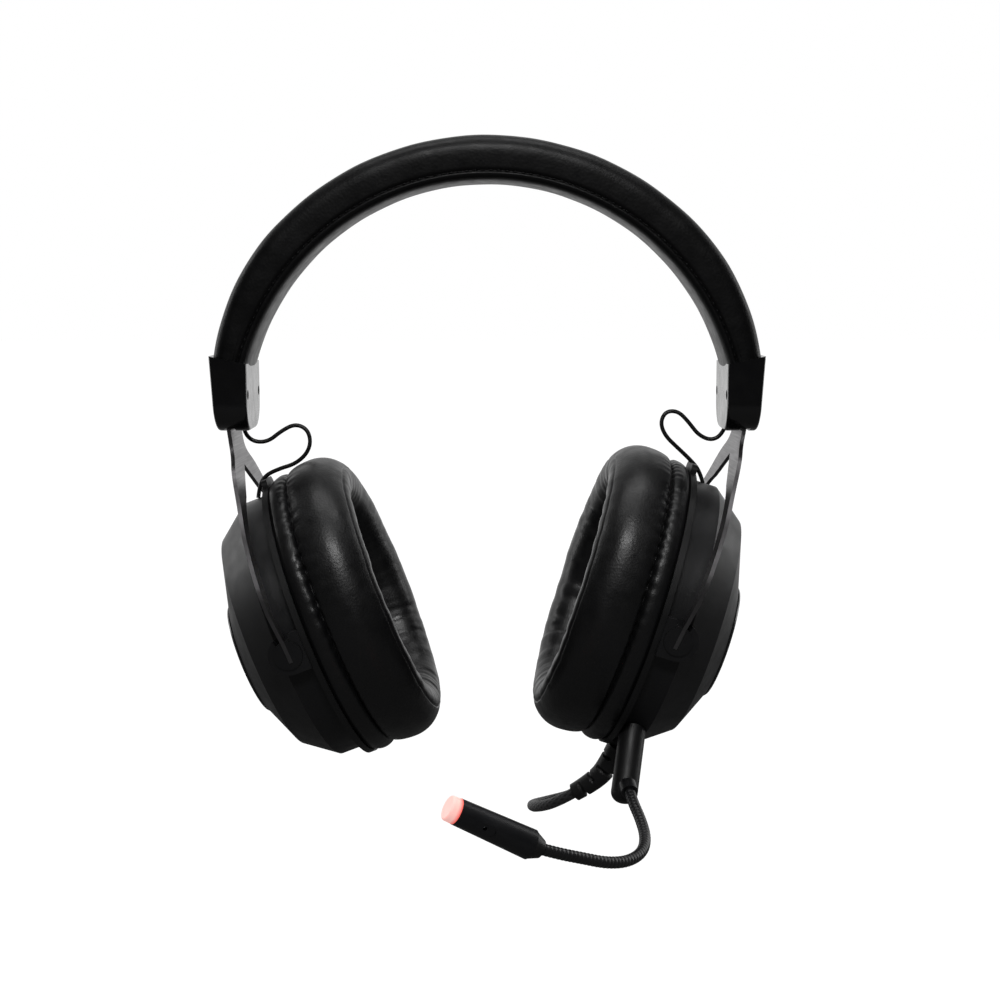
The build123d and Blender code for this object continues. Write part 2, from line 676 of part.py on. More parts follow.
DRIVER_SPOT = [(0, CUP_CENTRE_Z)]
for key, side in SIDES.items():
    frame = cup_plane(key)

    with BuildPart() as housing:
        add(housing_blank(frame, 0))
        add(housing_blank(frame, HOUSING_WALL), mode=Mode.SUBTRACT)
        add(discs(frame, RING_FRONT_X, SCREW_SPOTS, SCREW_POST_RADIUS, SCREW_POST_LENGTH))
        for way in (-1, 1):
            with BuildSketch(along_y(frame, way * BOSS_INNER_Y)):
                Circle(BOSS_RADIUS)
                with Locations((RING_FRONT_X / 2, 0)):
                    Rectangle(-RING_FRONT_X, 2 * BOSS_RADIUS)
            extrude(amount=-way * (BOSS_OUTER_Y - BOSS_INNER_Y))
            with BuildSketch(along_y(frame, way * SOCKET_FLOOR_Y)):
                Circle(PIVOT_RADIUS + PIVOT_CLEARANCE)
                with BuildLine():
                    Polyline(*ARM_SWEEP, close=True)
                make_face()
            extrude(amount=-way * 2 * BOSS_RADIUS, mode=Mode.SUBTRACT)
        add(discs(frame, RING_FRONT_X, SCREW_SPOTS, SCREW_RADIUS, SCREW_LENGTH), mode=Mode.SUBTRACT)
        with BuildSketch(across(frame, RING_FRONT_X)):
            Rectangle(4 * HOUSING_SIZE[0], 4 * HOUSING_SIZE[1])
        extrude(amount=RING_FRONT_X, mode=Mode.SUBTRACT)
    write(housing, f"cup_housing_{key}")

    with BuildPart() as plate:
        with BuildSketch(across(frame, FACE_X)):
            oval(inside_of(FACE_SIZE, PLATE_INSET), -FACE_DROP)
        extrude(amount=PLATE_THICK)
        outer_face = plate.faces().sort_by(lambda f: frame.to_local_coords(f.center()).X)[-1]
        chamfer(outer_face.edges(), PLATE_CHAMFER)
    write(plate, f"cup_plate_{key}")

    with BuildPart() as baffle:
        with BuildSketch(across(frame, RING_BACK_X)):
            baffle_outline()
            with Locations(*DRIVER_SPOT):
                Circle(DRIVER_RADIUS - BAFFLE_LIP, mode=Mode.SUBTRACT)
            with Locations(*SCREW_SPOTS):
                Circle(SCREW_HOLE_RADIUS, mode=Mode.SUBTRACT)
        extrude(amount=RING_FRONT_X - RING_BACK_X)
        recess_depth = SCREW_HEAD_INSET + SCREW_HEAD_THICK
        recess = discs(frame, RING_BACK_X, SCREW_SPOTS, SCREW_RECESS_RADIUS, recess_depth)
        add(recess, mode=Mode.SUBTRACT)
    write(baffle, f"baffle_{key}")

    with BuildPart() as baffle_screws:
        head_x = RING_BACK_X + SCREW_HEAD_INSET
        add(discs(frame, head_x, SCREW_SPOTS, SCREW_HEAD_RADIUS, SCREW_HEAD_THICK))
        add(discs(frame, head_x + SCREW_HEAD_THICK, SCREW_SPOTS, SCREW_RADIUS, SCREW_LENGTH))
    write(baffle_screws, f"baffle_screws_{key}")

    rear_x = RING_FRONT_X + DRIVER_DEPTH
    with BuildPart() as driver_frame:
        add(discs(frame, RING_FRONT_X, DRIVER_SPOT, DRIVER_RADIUS, DRIVER_DEPTH))
        bore = discs(frame, RING_FRONT_X, DRIVER_SPOT, DRIVER_RADIUS - DRIVER_WALL, DRIVER_DEPTH)
        add(bore, mode=Mode.SUBTRACT)
        add(discs(frame, rear_x, DRIVER_SPOT, DRIVER_RADIUS, DRIVER_WALL))
        add(discs(frame, rear_x, DRIVER_SPOT, MAGNET_RADIUS, DRIVER_WALL), mode=Mode.SUBTRACT)
    write(driver_frame, f"driver_frame_{key}")

    with BuildPart() as driver_cone:
        cone_x = RING_FRONT_X + CONE_SETBACK
        add(discs(frame, cone_x, DRIVER_SPOT, DRIVER_RADIUS - DRIVER_WALL, CONE_THICK))
        add(discs(frame, RING_FRONT_X + DOME_SETBACK, DRIVER_SPOT, DOME_RADIUS, DOME_THICK))
    write(driver_cone, f"driver_cone_{key}")

    with BuildPart() as driver_magnet:
        add(discs(frame, rear_x, DRIVER_SPOT, MAGNET_RADIUS, MAGNET_DEPTH))
    write(driver_magnet, f"driver_magnet_{key}")

    with BuildPart() as driver_cloth:
        add(discs(frame, RING_BACK_X, DRIVER_SPOT, DRIVER_RADIUS + CLOTH_OVERLAP, -CLOTH_THICK))
    write(driver_cloth, f"driver_cloth_{key}")

    with BuildPart() as cushion:
        add(cushion_part(frame))
    write(cushion, f"ear_cushion_{key}")

with BuildPart() as control_board:
    board_frame = cup_plane("l")
    with BuildSketch(across(board_frame, BOARD_X)):
        with Locations((0, -BOARD_DROP)):
            Rectangle(BOARD_SIZE[0], BOARD_SIZE[1])
    extrude(amount=BOARD_SIZE[2])
    with BuildSketch(across(board_frame, BOARD_X + BOARD_SIZE[2])):
        with Locations((-CHIP_Y, -BOARD_DROP), (CHIP_Y, -BOARD_DROP)):
            Rectangle(CHIP_SIZE[0], CHIP_SIZE[1])
    extrude(amount=CHIP_SIZE[2])
write(control_board, "control_board")

# ---------------------------------------------------------------- routed pieces


def corner_radii(route):
    """Each corner's radius: 0.45 of the shorter run beside it, over the tangent of half its turn."""
    radii = []
    for before, here, after in zip(route, route[1:], route[2:]):
        run_in, run_out = Vector(*here) - Vector(*before), Vector(*after) - Vector(*here)
        half_turn = math.radians(run_in.get_angle(run_out)) / 2
        radii.append(0.45 * min(run_in.length, run_out.length) / math.tan(half_turn))
    return radii


def tube_along(route, radius):
    """A tube along straight runs joined by tangent arcs."""
    with BuildPart() as tube:
        with BuildLine() as path:
            FilletPolyline(*route, radius=corner_radii(route))
        line = path.wire()
        with BuildSketch(Plane(origin=line @ 0, z_dir=line % 0)):
            Circle(radius)
        sweep(path=line, transition=Transition.RIGHT)
    return tube.part, line.length


def route_end(route, index):
    """The way a route points where it ends."""
    start, end = (route[1], route[0]) if index == 0 else (route[-2], route[-1])
    return unit(Vector(*end) - Vector(*start))


def report_route(name, route, radius, length, volume):
    expected = math.pi * radius**2 * length
    radii = ", ".join(f"{r:.1f}" for r in corner_radii(route))
    print(f"{name}: length {length:.1f}, volume {volume:.0f} of {expected:.0f}, bends {radii}")


def cup_outside(key):
    """A housing and baffle filled in, to trim what ends on their outside."""
    frame = cup_plane(key)
    with BuildPart() as outside:
        add(housing_blank(frame, 0))
        with BuildSketch(across(frame, RING_BACK_X)):
            baffle_outline()
        extrude(amount=RING_FRONT_X - RING_BACK_X)
    return outside.part


for key in SIDES:
    with BuildPart() as lead:
        solid, length = tube_along(LEAD_ROUTE[key], LEAD_RADIUS)
        add(solid)
        add(cup_outside(key), mode=Mode.SUBTRACT)
    write(lead, f"lead_{key}")
    report_route(f"lead_{key}", LEAD_ROUTE[key], LEAD_RADIUS, length, lead.part.volume)

# ---------------------------------------------------------------- microphone

post_axis = unit(Vector(*POST_END) - Vector(*POST_ROOT))
post_length = (Vector(*POST_END) - Vector(*POST_ROOT)).length
with BuildPart() as mic_post:
    with BuildSketch(Plane(origin=POST_ROOT, z_dir=post_axis)):
        Circle(POST_RADIUS)
    extrude(amount=post_length)
    fillet(mic_post.faces().sort_by(Axis.Z)[0].edges(), POST_END_RADIUS)
    add(cup_outside("l"), mode=Mode.SUBTRACT)
write(mic_post, "mic_post")

neck_start = route_end(GOOSENECK_ROUTE, 0) * -1
collar_root = Vector(*GOOSENECK_ROUTE[0]) - neck_start * COLLAR_SETBACK
with BuildPart() as boom_collar:
    with BuildSketch(Plane(origin=collar_root, z_dir=neck_start)):
        Circle(GOOSENECK_RADIUS + COLLAR_WALL)
    extrude(amount=COLLAR_LENGTH)
    add(mic_post.part, mode=Mode.SUBTRACT)
    with BuildSketch(Plane(origin=GOOSENECK_ROUTE[0], z_dir=neck_start)):
        Circle(GOOSENECK_RADIUS)
    extrude(amount=2 * COLLAR_LENGTH, mode=Mode.SUBTRACT)
write(boom_collar, "boom_collar")

with BuildPart() as gooseneck:
    solid, length = tube_along(GOOSENECK_ROUTE, GOOSENECK_RADIUS)
    add(solid)
    add(mic_post.part, mode=Mode.SUBTRACT)
write(gooseneck, "gooseneck")
report_route("gooseneck", GOOSENECK_ROUTE, GOOSENECK_RADIUS, length, gooseneck.part.volume)

mic_axis = unit(Vector(*MIC_TIP) - Vector(*MIC_REAR))
mic_length = (Vector(*MIC_TIP) - Vector(*MIC_REAR)).length
mic_plane = Plane(origin=MIC_REAR, x_dir=mic_axis.cross(Vector(0, 0, 1)), z_dir=mic_axis)
collar_end = MIC_COLLAR_LENGTH
body_end = mic_length - MIC_TIP_LENGTH


def mic_radius(along):
    """The capsule's outer radius, tapering from its collar to its tip."""
    share = (along - collar_end) / (mic_length - collar_end)
    return MIC_REAR_RADIUS + (MIC_TIP_RADIUS - MIC_REAR_RADIUS) * share


with BuildPart() as mic_collar:
    with BuildSketch(mic_plane.offset(-MIC_COLLAR_OVERHANG)):
        Circle(MIC_COLLAR_REAR_RADIUS)
    with BuildSketch(mic_plane.offset(collar_end)):
        Circle(MIC_REAR_RADIUS - MIC_COLLAR_STEP)
    loft()
    with BuildSketch(mic_plane.offset(-MIC_COLLAR_OVERHANG)):
        Circle(GOOSENECK_RADIUS + MIC_COLLAR_CLEARANCE)
    extrude(amount=MIC_COLLAR_BORE_DEPTH, mode=Mode.SUBTRACT)
write(mic_collar, "mic_collar")

hole_normal = unit(Vector(0, -1, 0) - mic_axis * mic_axis.dot(Vector(0, -1, 0)))
hole_centre = mic_plane.offset(SOUND_HOLE_ALONG).origin
patch_floor = hole_centre + hole_normal * (mic_radius(SOUND_HOLE_ALONG) - SOUND_PATCH_DEPTH)
with BuildPart() as mic_body:
    with BuildSketch(mic_plane.offset(collar_end)):
        Circle(mic_radius(collar_end))
    with BuildSketch(mic_plane.offset(body_end)):
        Circle(mic_radius(body_end))
    loft()
    with BuildSketch(mic_plane.offset(collar_end + MIC_FLOOR)):
        Circle(mic_radius(collar_end) - MIC_WALL)
    with BuildSketch(mic_plane.offset(body_end)):
        Circle(mic_radius(body_end) - MIC_WALL)
    loft(mode=Mode.SUBTRACT)
    with BuildSketch(Plane(origin=patch_floor, x_dir=mic_axis, z_dir=hole_normal)):
        Ellipse(*SOUND_PATCH_SIZE)
    extrude(amount=MIC_WALL, mode=Mode.SUBTRACT)
    with BuildSketch(Plane(origin=hole_centre, x_dir=mic_axis, z_dir=hole_normal)):
        Circle(SOUND_HOLE_RADIUS)
    extrude(amount=2 * MIC_REAR_RADIUS, mode=Mode.SUBTRACT)
write(mic_body, "mic_body")

with BuildPart() as mic_light:
    with BuildSketch(mic_plane.offset(body_end)):
        Circle(mic_radius(body_end) - MIC_TIP_STEP)
    with BuildSketch(mic_plane.offset(mic_length)):
        Circle(mic_radius(mic_length) - MIC_TIP_STEP)
    loft()
    fillet(mic_light.edges().filter_by(GeomType.CIRCLE).sort_by(Axis.X)[0], MIC_TIP_ROUNDING)
    with BuildSketch(mic_plane.offset(body_end - MIC_SPIGOT_LENGTH)):
        Circle(mic_radius(body_end) - MIC_WALL - MIC_SPIGOT_CLEARANCE)
    extrude(amount=MIC_SPIGOT_LENGTH)
write(mic_light, "mic_light")

with BuildPart() as mic_capsule:
    with BuildSketch(mic_plane.offset(MIC_CAPSULE_ALONG)):
        Circle(MIC_CAPSULE_RADIUS)
    extrude(amount=MIC_CAPSULE_LENGTH)
write(mic_capsule, "mic_capsule")

with BuildPart() as mic_led_board:
    with BuildSketch(mic_plane.offset(body_end - LED_BOARD_SETBACK)):
        Circle(LED_BOARD_RADIUS)
    extrude(amount=LED_BOARD_THICK)
write(mic_led_board, "mic_led_board")

# ---------------------------------------------------------------- cable, coil and plug

with BuildPart() as strain_relief:
    solid, length = tube_along(RELIEF_ROUTE, RELIEF_RADIUS)
    add(solid)
    add(cup_outside("l"), mode=Mode.SUBTRACT)
write(strain_relief, "strain_relief")

coil_reach = COIL_RADIAL_TURNS * CABLE_RADIUS
coil_depth = 2 * COIL_AXIAL_TURNS * CABLE_RADIUS
coil_turns = COIL_RADIAL_TURNS * COIL_AXIAL_TURNS
coil_plane = Plane(origin=COIL_CENTRE, x_dir=(1, 0, 0), z_dir=(0, 1, 0))
with BuildPart() as cable_coil:
    with BuildSketch(coil_plane.offset(-coil_depth / 2)):
        Circle(COIL_MEAN_RADIUS + coil_reach)
        Circle(COIL_MEAN_RADIUS - coil_reach, mode=Mode.SUBTRACT)
    extrude(amount=coil_depth)
    fillet(cable_coil.edges(), CABLE_RADIUS)
write(cable_coil, "cable_coil")
coil_length = coil_turns * 2 * math.pi * COIL_MEAN_RADIUS
print(f"cable_coil: {coil_length:.0f} mm in {coil_turns} turns")

for name, route in (("cable_run", CABLE_ROUTE), ("cable_tail", TAIL_ROUTE)):
    with BuildPart() as cable:
        solid, length = tube_along(route, CABLE_RADIUS)
        add(solid)
        add(cable_coil.part, mode=Mode.SUBTRACT)
        add(strain_relief.part, mode=Mode.SUBTRACT)
    write(cable, name)
    report_route(name, route, CABLE_RADIUS, length, cable.part.volume)

with BuildPart() as cable_tie:
    tie_centre = Vector(*COIL_CENTRE) + Vector(-COIL_MEAN_RADIUS, 0, 0)
    with BuildSketch(Plane.XY.offset(tie_centre.Z - TIE_WIDTH / 2)):
        with Locations((tie_centre.X, tie_centre.Y)):
            RectangleRounded(2 * (coil_reach + TIE_THICK[0]), coil_depth + 2 * TIE_THICK[1], TIE_CORNER)
    extrude(amount=TIE_WIDTH)
    with BuildSketch(coil_plane.offset(-coil_depth / 2 - TIE_CLEARANCE)):
        Circle(COIL_MEAN_RADIUS + coil_reach + TIE_CLEARANCE)
        Circle(COIL_MEAN_RADIUS - coil_reach - TIE_CLEARANCE, mode=Mode.SUBTRACT)
    extrude(amount=coil_depth + 2 * TIE_CLEARANCE, mode=Mode.SUBTRACT)
write(cable_tie, "cable_tie")

plug_plane = Plane(origin=TAIL_ROUTE[-1], x_dir=(1, 0, 0), z_dir=(0, 0, 1))
with BuildPart() as plug_body:
    with BuildSketch(plug_plane):
        RectangleRounded(PLUG_BODY_SIZE[0], PLUG_BODY_SIZE[1], PLUG_CORNER)
    extrude(amount=PLUG_BODY_SIZE[2])
    fillet(plug_body.edges().group_by(Axis.Z)[-1], PLUG_END_ROUNDING)
write(plug_body, "plug_body")

shell_plane = plug_plane.offset(PLUG_BODY_SIZE[2])
with BuildPart() as plug_shell:
    with BuildSketch(shell_plane):
        Rectangle(PLUG_SHELL_SIZE[0], PLUG_SHELL_SIZE[1])
        Rectangle(
            PLUG_SHELL_SIZE[0] - 2 * PLUG_SHELL_WALL, PLUG_SHELL_SIZE[1] - 2 * PLUG_SHELL_WALL,
            mode=Mode.SUBTRACT,
        )
    extrude(amount=PLUG_SHELL_SIZE[2])
write(plug_shell, "plug_shell")

with BuildPart() as plug_tongue:
    with BuildSketch(shell_plane):
        with Locations((0, (PLUG_SHELL_SIZE[1] - TONGUE_THICK) / 2 - PLUG_SHELL_WALL)):
            Rectangle(PLUG_SHELL_SIZE[0] - 2 * PLUG_SHELL_WALL, TONGUE_THICK)
    extrude(amount=PLUG_SHELL_SIZE[2] - TONGUE_SETBACK)
write(plug_tongue, "plug_tongue")

for key in SIDES:
    yoke, cup = yoke_plane(key), cup_plane(key)
    print(key, "slide", [round(v, 5) for v in yoke.z_dir], "pivot", [round(v, 3) for v in cup.origin],
          "axis", [round(v, 5) for v in cup.y_dir], "out", [round(v, 5) for v in cup.x_dir],
          "up", [round(v, 5) for v in cup.z_dir])
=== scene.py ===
"""Over-ear gaming headset: the looks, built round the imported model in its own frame, in metres."""

import json
import math
import random

import bpy
import numpy as np
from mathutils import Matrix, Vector


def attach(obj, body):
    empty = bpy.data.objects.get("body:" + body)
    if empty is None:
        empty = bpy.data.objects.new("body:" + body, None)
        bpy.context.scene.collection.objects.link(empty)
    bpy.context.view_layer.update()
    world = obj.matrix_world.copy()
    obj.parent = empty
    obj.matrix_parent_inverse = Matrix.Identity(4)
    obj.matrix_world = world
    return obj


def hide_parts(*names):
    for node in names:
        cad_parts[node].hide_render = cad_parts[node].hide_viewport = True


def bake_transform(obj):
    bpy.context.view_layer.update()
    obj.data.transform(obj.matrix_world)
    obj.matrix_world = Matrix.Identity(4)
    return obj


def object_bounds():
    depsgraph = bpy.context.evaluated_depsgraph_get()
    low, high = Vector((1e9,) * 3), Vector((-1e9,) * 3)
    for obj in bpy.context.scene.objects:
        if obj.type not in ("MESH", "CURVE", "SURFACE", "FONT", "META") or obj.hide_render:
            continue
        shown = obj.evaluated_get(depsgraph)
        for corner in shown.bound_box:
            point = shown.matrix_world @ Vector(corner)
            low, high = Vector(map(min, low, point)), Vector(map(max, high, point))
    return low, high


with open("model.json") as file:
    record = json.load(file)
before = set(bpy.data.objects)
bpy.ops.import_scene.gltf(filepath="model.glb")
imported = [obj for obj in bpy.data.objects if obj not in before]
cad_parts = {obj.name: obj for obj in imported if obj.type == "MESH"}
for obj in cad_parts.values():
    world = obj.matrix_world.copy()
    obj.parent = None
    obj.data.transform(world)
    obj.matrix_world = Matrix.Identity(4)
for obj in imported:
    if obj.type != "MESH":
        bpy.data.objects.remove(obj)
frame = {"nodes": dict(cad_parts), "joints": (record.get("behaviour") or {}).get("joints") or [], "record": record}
CAD_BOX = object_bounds()
MM = 0.001

# ------------------------------------------------------------------ places shared with the model

CUP_OUT = {"r": (-0.93073, 0.02546, -0.36483), "l": (0.9518, 0.02593, -0.30564)}
CUP_UP = {"r": (-0.3648, 0.00607, 0.93107), "l": (0.30565, 0.00355, 0.95214)}
TILT_JOINTS = {j["name"][-1]: j for j in frame["joints"] if j["name"].startswith("cup_tilt")}
RING_BACK_X = -8.1
CUP_CENTRE_Z = 1.5
ROLL_SIZE = (44.0, 53.2)
ROLL_RISE = 1.5

CABLE_DIAMETER = 4.0
CABLE_RUN = [
    (32.0, 0.2, -223.4), (25.1, 1.8, -227.9), (17.9, 8.6, -231.8), (16.2, 19.6, -234.3),
    (22.5, 29.5, -236.0), (33.5, 36.5, -235.5), (44.5, 43.4, -231.0), (52.0, 50.4, -220.0),
    (55.6, 55.4, -206.6), (60.6, 57.4, -195.4),
]
CABLE_TAIL = [
    (58.5, 73.8, -194.6), (68.5, 76.0, -197.6), (78.4, 76.6, -194.0), (84.4, 77.0, -185.4),
    (84.4, 77.0, -175.4),
]
COIL_CENTRE = (61.2, 63.5, -162.4)
COIL_RADII = (28.0, 24.0, 20.0)
COIL_LAYERS = (57.5, 61.5, 65.5, 69.5)
COIL_POINTS_PER_TURN = 12
COIL_POINTS_CHANGING_TURN = 3
COIL_START_DEGREES = -72.0
COIL_EXIT_RADIUS = 31.0
COIL_EXIT_LIFT = 4.3
COIL_EXIT_POINTS = 5
COIL_EXIT_DEGREES = 225.0

RELIEF_ROUTE = [(50.4, -5.0, -199.8), (45.0, -3.2, -211.6), (39.2, -1.4, -218.7), (32.0, 0.2, -223.4)]
RELIEF_STEP = 0.2
RELIEF_SIDES = 36
RELIEF_PITCH = 5.6
RELIEF_FIRST_SEGMENT = 1.9
RELIEF_END_RADIUS = 3.35
RELIEF_SWELLING = 1.0
RELIEF_TAPER_LENGTH = 24.0
RELIEF_LIP_LENGTH = 0.6
RELIEF_LIP_SHARE = 0.55
RELIEF_SLOT_LENGTH = 1.5
RELIEF_SLOT_DEPTH = 1.35
RELIEF_SLOT_TURN = 0.9
RELIEF_BRIDGE_COSINE = -0.35
GOOSENECK_ROUTE = [
    (48.9, -39.5, -208.6), (49.9, -46.5, -211.6), (52.2, -54.5, -215.6), (53.2, -63.5, -218.9),
    (51.4, -72.5, -220.8), (46.0, -80.5, -221.1), (38.6, -86.5, -219.4), (30.2, -91.2, -216.0),
    (23.0, -95.2, -213.2), (17.4, -97.6, -210.8),
]
GOOSENECK_RADIUS = 1.9
GOOSENECK_STEP = 0.25
GOOSENECK_SIDES = 22
RIDGE_PITCH = 1.5
RIDGE_HEIGHT = 0.26
RIDGE_ROOT_DEPTH = 0.2
MIC_REAR = Vector((16.0, -98.1, -210.1))
MIC_TIP = Vector((-11.7, -106.0, -194.6))
LEAD_RADIUS = 0.75
LEAD_STEP = 0.35
LEAD_SIDES = 14
LEAD_ROUTE = {
    "r": [
        (-88.6, 0, -85.5), (-87.9, 0, -89.2), (-84.6, 0, -92.3), (-79.4, 0, -92.2), (-74.6, 0.4, -88.3),
        (-69.7, 0.8, -85.8), (-65.3, 0.6, -87.6), (-63.9, 0, -92.3), (-65.6, -0.4, -96.8),
        (-69.9, -0.6, -100.3), (-75.2, -0.4, -101.9), (-80.3, 0, -104.2), (-82.9, 0.3, -108.0),
        (-83.4, 0.2, -112.7),
    ],
    "l": [
        (86.4, 0, -85.5), (84.9, 0, -89.6), (81.0, 0, -91.8), (76.3, 0, -89.8), (72.8, 0.4, -85.2),
        (69.0, 0.8, -81.2), (64.4, 0.6, -81.2), (62.4, 0, -85.3), (64.2, -0.4, -90.0),
        (68.6, -0.4, -94.2), (72.9, 0, -98.2), (76.9, 0.2, -102.6), (78.2, 0.2, -107.3),
    ],
}


def metres(points):
    return [Vector(p) * MM for p in points]


# ------------------------------------------------------------------ camera

CAMERA_TARGET = Vector((4.5, 0.0, -113.5)) * MM
CAMERA_DISTANCE = 0.6
CAMERA_ELEVATION = math.radians(7.4)
CAMERA_LENS = 59.4

camera_data = bpy.data.cameras.new("camera")
camera_data.lens = CAMERA_LENS
camera_data.sensor_width = 36.0
camera_data.clip_start = 0.01
camera = bpy.data.objects.new("camera", camera_data)
bpy.context.scene.collection.objects.link(camera)
away = Vector((0, -math.cos(CAMERA_ELEVATION), math.sin(CAMERA_ELEVATION)))
camera.location = CAMERA_TARGET + away * CAMERA_DISTANCE
camera.rotation_euler = (-away).to_track_quat("-Z", "Y").to_euler()
bpy.context.scene.camera = camera

# ------------------------------------------------------------------ curves, tubes and grids

POINTS_PER_CURVE_SPAN = 6
CURVE_BEVEL_STEPS = 5
OFF_AXIS = (0.31, 0.2, 0.93)


def nurbs_curve(name, points, radius=0.0):
    """A curve of one open spline with the route's points as its control points."""
    curve = bpy.data.curves.new(name, "CURVE")
    curve.dimensions = "3D"
    curve.resolution_u = POINTS_PER_CURVE_SPAN
    spline = curve.splines.new("NURBS")
    spline.points.add(len(points) - 1)
    for target, point in zip(spline.points, points):
        target.co = (*point, 1.0)
        target.radius = radius
    spline.order_u = 3
    spline.use_endpoint_u = True
    if radius:
        curve.bevel_depth = 1.0
        curve.bevel_resolution = CURVE_BEVEL_STEPS
        curve.use_fill_caps = True
    obj = bpy.data.objects.new(name, curve)
    bpy.context.scene.collection.objects.link(obj)
    return obj


def line_of(points, step):
    """Evenly spaced points along the smooth spline of a route, and their distances along it."""
    guide = nurbs_curve("guide", points)
    mesh = bpy.data.meshes.new_from_object(guide)
    line = np.array([v.co for v in mesh.vertices])
    bpy.data.meshes.remove(mesh)
    bpy.data.objects.remove(guide)
    runs = np.linalg.norm(np.diff(line, axis=0), axis=1)
    along = np.concatenate([[0.0], np.cumsum(runs)])
    count = max(3, int(round(along[-1] / step)) + 1)
    wanted = np.linspace(0.0, along[-1], count)
    even = np.stack([np.interp(wanted, along, line[:, i]) for i in range(3)], axis=1)
    return even, wanted


def transported_frames(line):
    """Two directions square to a line at each of its points, carried along without twist."""
    tangents = np.gradient(line, axis=0)
    tangents /= np.linalg.norm(tangents, axis=1)[:, None]
    side = np.cross(tangents[0], OFF_AXIS)
    side /= np.linalg.norm(side)
    sides = []
    for tangent in tangents:
        side = side - tangent * np.dot(side, tangent)
        side /= np.linalg.norm(side)
        sides.append(side)
    sides = np.array(sides)
    return tangents, sides, np.cross(tangents, sides)


def grid_object(name, grid, close_u=False, close_v=True, cap=False):
    """A smooth-shaded mesh through a grid of points; u is the first index and v the second."""
    rows, columns = grid.shape[:2]
    vertices = grid.reshape(-1, 3)
    faces = []
    for i in range(rows if close_u else rows - 1):
        for j in range(columns if close_v else columns - 1):
            a, b = i * columns + j, i * columns + (j + 1) % columns
            c = ((i + 1) % rows) * columns + (j + 1) % columns
            d = ((i + 1) % rows) * columns + j
            faces.append((a, b, c, d))
    if cap:
        faces.append(tuple(reversed(range(columns))))
        faces.append(tuple((rows - 1) * columns + j for j in range(columns)))
    mesh = bpy.data.meshes.new(name)
    mesh.from_pydata([tuple(v) for v in vertices], [], faces)
    mesh.polygons.foreach_set("use_smooth", [True] * len(mesh.polygons))
    mesh.update()
    obj = bpy.data.objects.new(name, mesh)
    bpy.context.scene.collection.objects.link(obj)
    return obj


def tube_object(name, line, radius_at, sides=24):
    """A closed tube about a line; radius_at(s, angle) gives its radius in metres."""
    tangents, across, upward = transported_frames(line)
    runs = np.linalg.norm(np.diff(line, axis=0), axis=1)
    along = np.concatenate([[0.0], np.cumsum(runs)])
    angles = np.linspace(0, 2 * math.pi, sides, endpoint=False)
    grid = np.zeros((len(line), sides, 3))
    for i, s in enumerate(along):
        for j, angle in enumerate(angles):
            r = radius_at(s, angle)
            grid[i, j] = line[i] + r * (math.cos(angle) * across[i] + math.sin(angle) * upward[i])
    return grid_object(name, grid, cap=True)


# ------------------------------------------------------------------ cable, leads and gooseneck


def coil_point(radius, angle, y):
    """A point about the coil's axis, in millimetres."""
    return COIL_CENTRE[0] + radius * math.cos(angle), y, COIL_CENTRE[2] + radius * math.sin(angle)


def coil_points():
    """Control points of every turn: four turns side by side in each of three layers, then the way out."""
    turns = []
    for level, radius in enumerate(COIL_RADII):
        layers = COIL_LAYERS if level % 2 == 0 else tuple(reversed(COIL_LAYERS))
        turns += [(radius, y) for y in layers]
    points = []
    step = math.radians(360 / COIL_POINTS_PER_TURN)
    angle = math.radians(COIL_START_DEGREES)
    # control points stand this much outside the circle, so that the curve keeps close to it
    stretch = 1 + (1 / math.cos(step / 2) ** 2 - 1) / 2
    change_starts = COIL_POINTS_PER_TURN - COIL_POINTS_CHANGING_TURN
    for index, (radius, y) in enumerate(turns):
        next_radius, next_y = turns[min(index + 1, len(turns) - 1)]
        for k in range(COIL_POINTS_PER_TURN):
            share = min(1.0, max(0.0, (k - change_starts) / COIL_POINTS_CHANGING_TURN))
            r = (radius + (next_radius - radius) * share) * stretch
            points.append(coil_point(r, angle, y + (next_y - y) * share))
            angle += step
    last_radius = COIL_RADII[-1]
    for k in range(COIL_POINTS_PER_TURN // 2 + 2):
        share = min(1.0, max(0.0, (k - 1) / COIL_EXIT_POINTS))
        r = last_radius + (COIL_EXIT_RADIUS - last_radius) * share
        points.append(coil_point(r, angle, COIL_LAYERS[-1] + COIL_EXIT_LIFT * min(1.0, share * 2.2)))
        angle += step
        if math.degrees(angle) % 360 > COIL_EXIT_DEGREES and share >= 0.99:
            break
    return points


cable = nurbs_curve("cable", metres(CABLE_RUN + coil_points() + CABLE_TAIL), CABLE_DIAMETER / 2 * MM)
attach(cable, "cup_l")
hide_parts("cable_run", "cable_coil", "cable_tail")


def lead_half(name, half_line):
    """Half of a lead, as a tube along its half of the route, baked into place."""
    lead = tube_object(name, half_line, lambda s, angle: LEAD_RADIUS * MM, LEAD_SIDES)
    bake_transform(lead)
    return lead


leads = []
for key, route in LEAD_ROUTE.items():
    line, along = line_of(metres(route), LEAD_STEP * MM)
    middle = len(line) // 2
    upper, lower = line[: middle + 1], line[middle:]
    leads.append(lead_half(f"lead_upper_{key}", upper))
    leads.append(lead_half(f"lead_lower_{key}", lower))
    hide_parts(f"lead_{key}")
    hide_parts(f"lead_{key}")

neck_line, _ = line_of(metres(GOOSENECK_ROUTE), GOOSENECK_STEP * MM)


def neck_radius(s, angle):
    """Wound wire: a rounded ridge that climbs once round in each pitch."""
    turn = (s / (RIDGE_PITCH * MM) + angle / (2 * math.pi)) % 1.0
    ridge = RIDGE_HEIGHT * math.sqrt(max(0.0, math.sin(math.pi * turn)))
    return (GOOSENECK_RADIUS - RIDGE_ROOT_DEPTH + ridge) * MM


gooseneck = tube_object("gooseneck_winding", neck_line, neck_radius, GOOSENECK_SIDES)
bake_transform(gooseneck)
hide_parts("gooseneck")

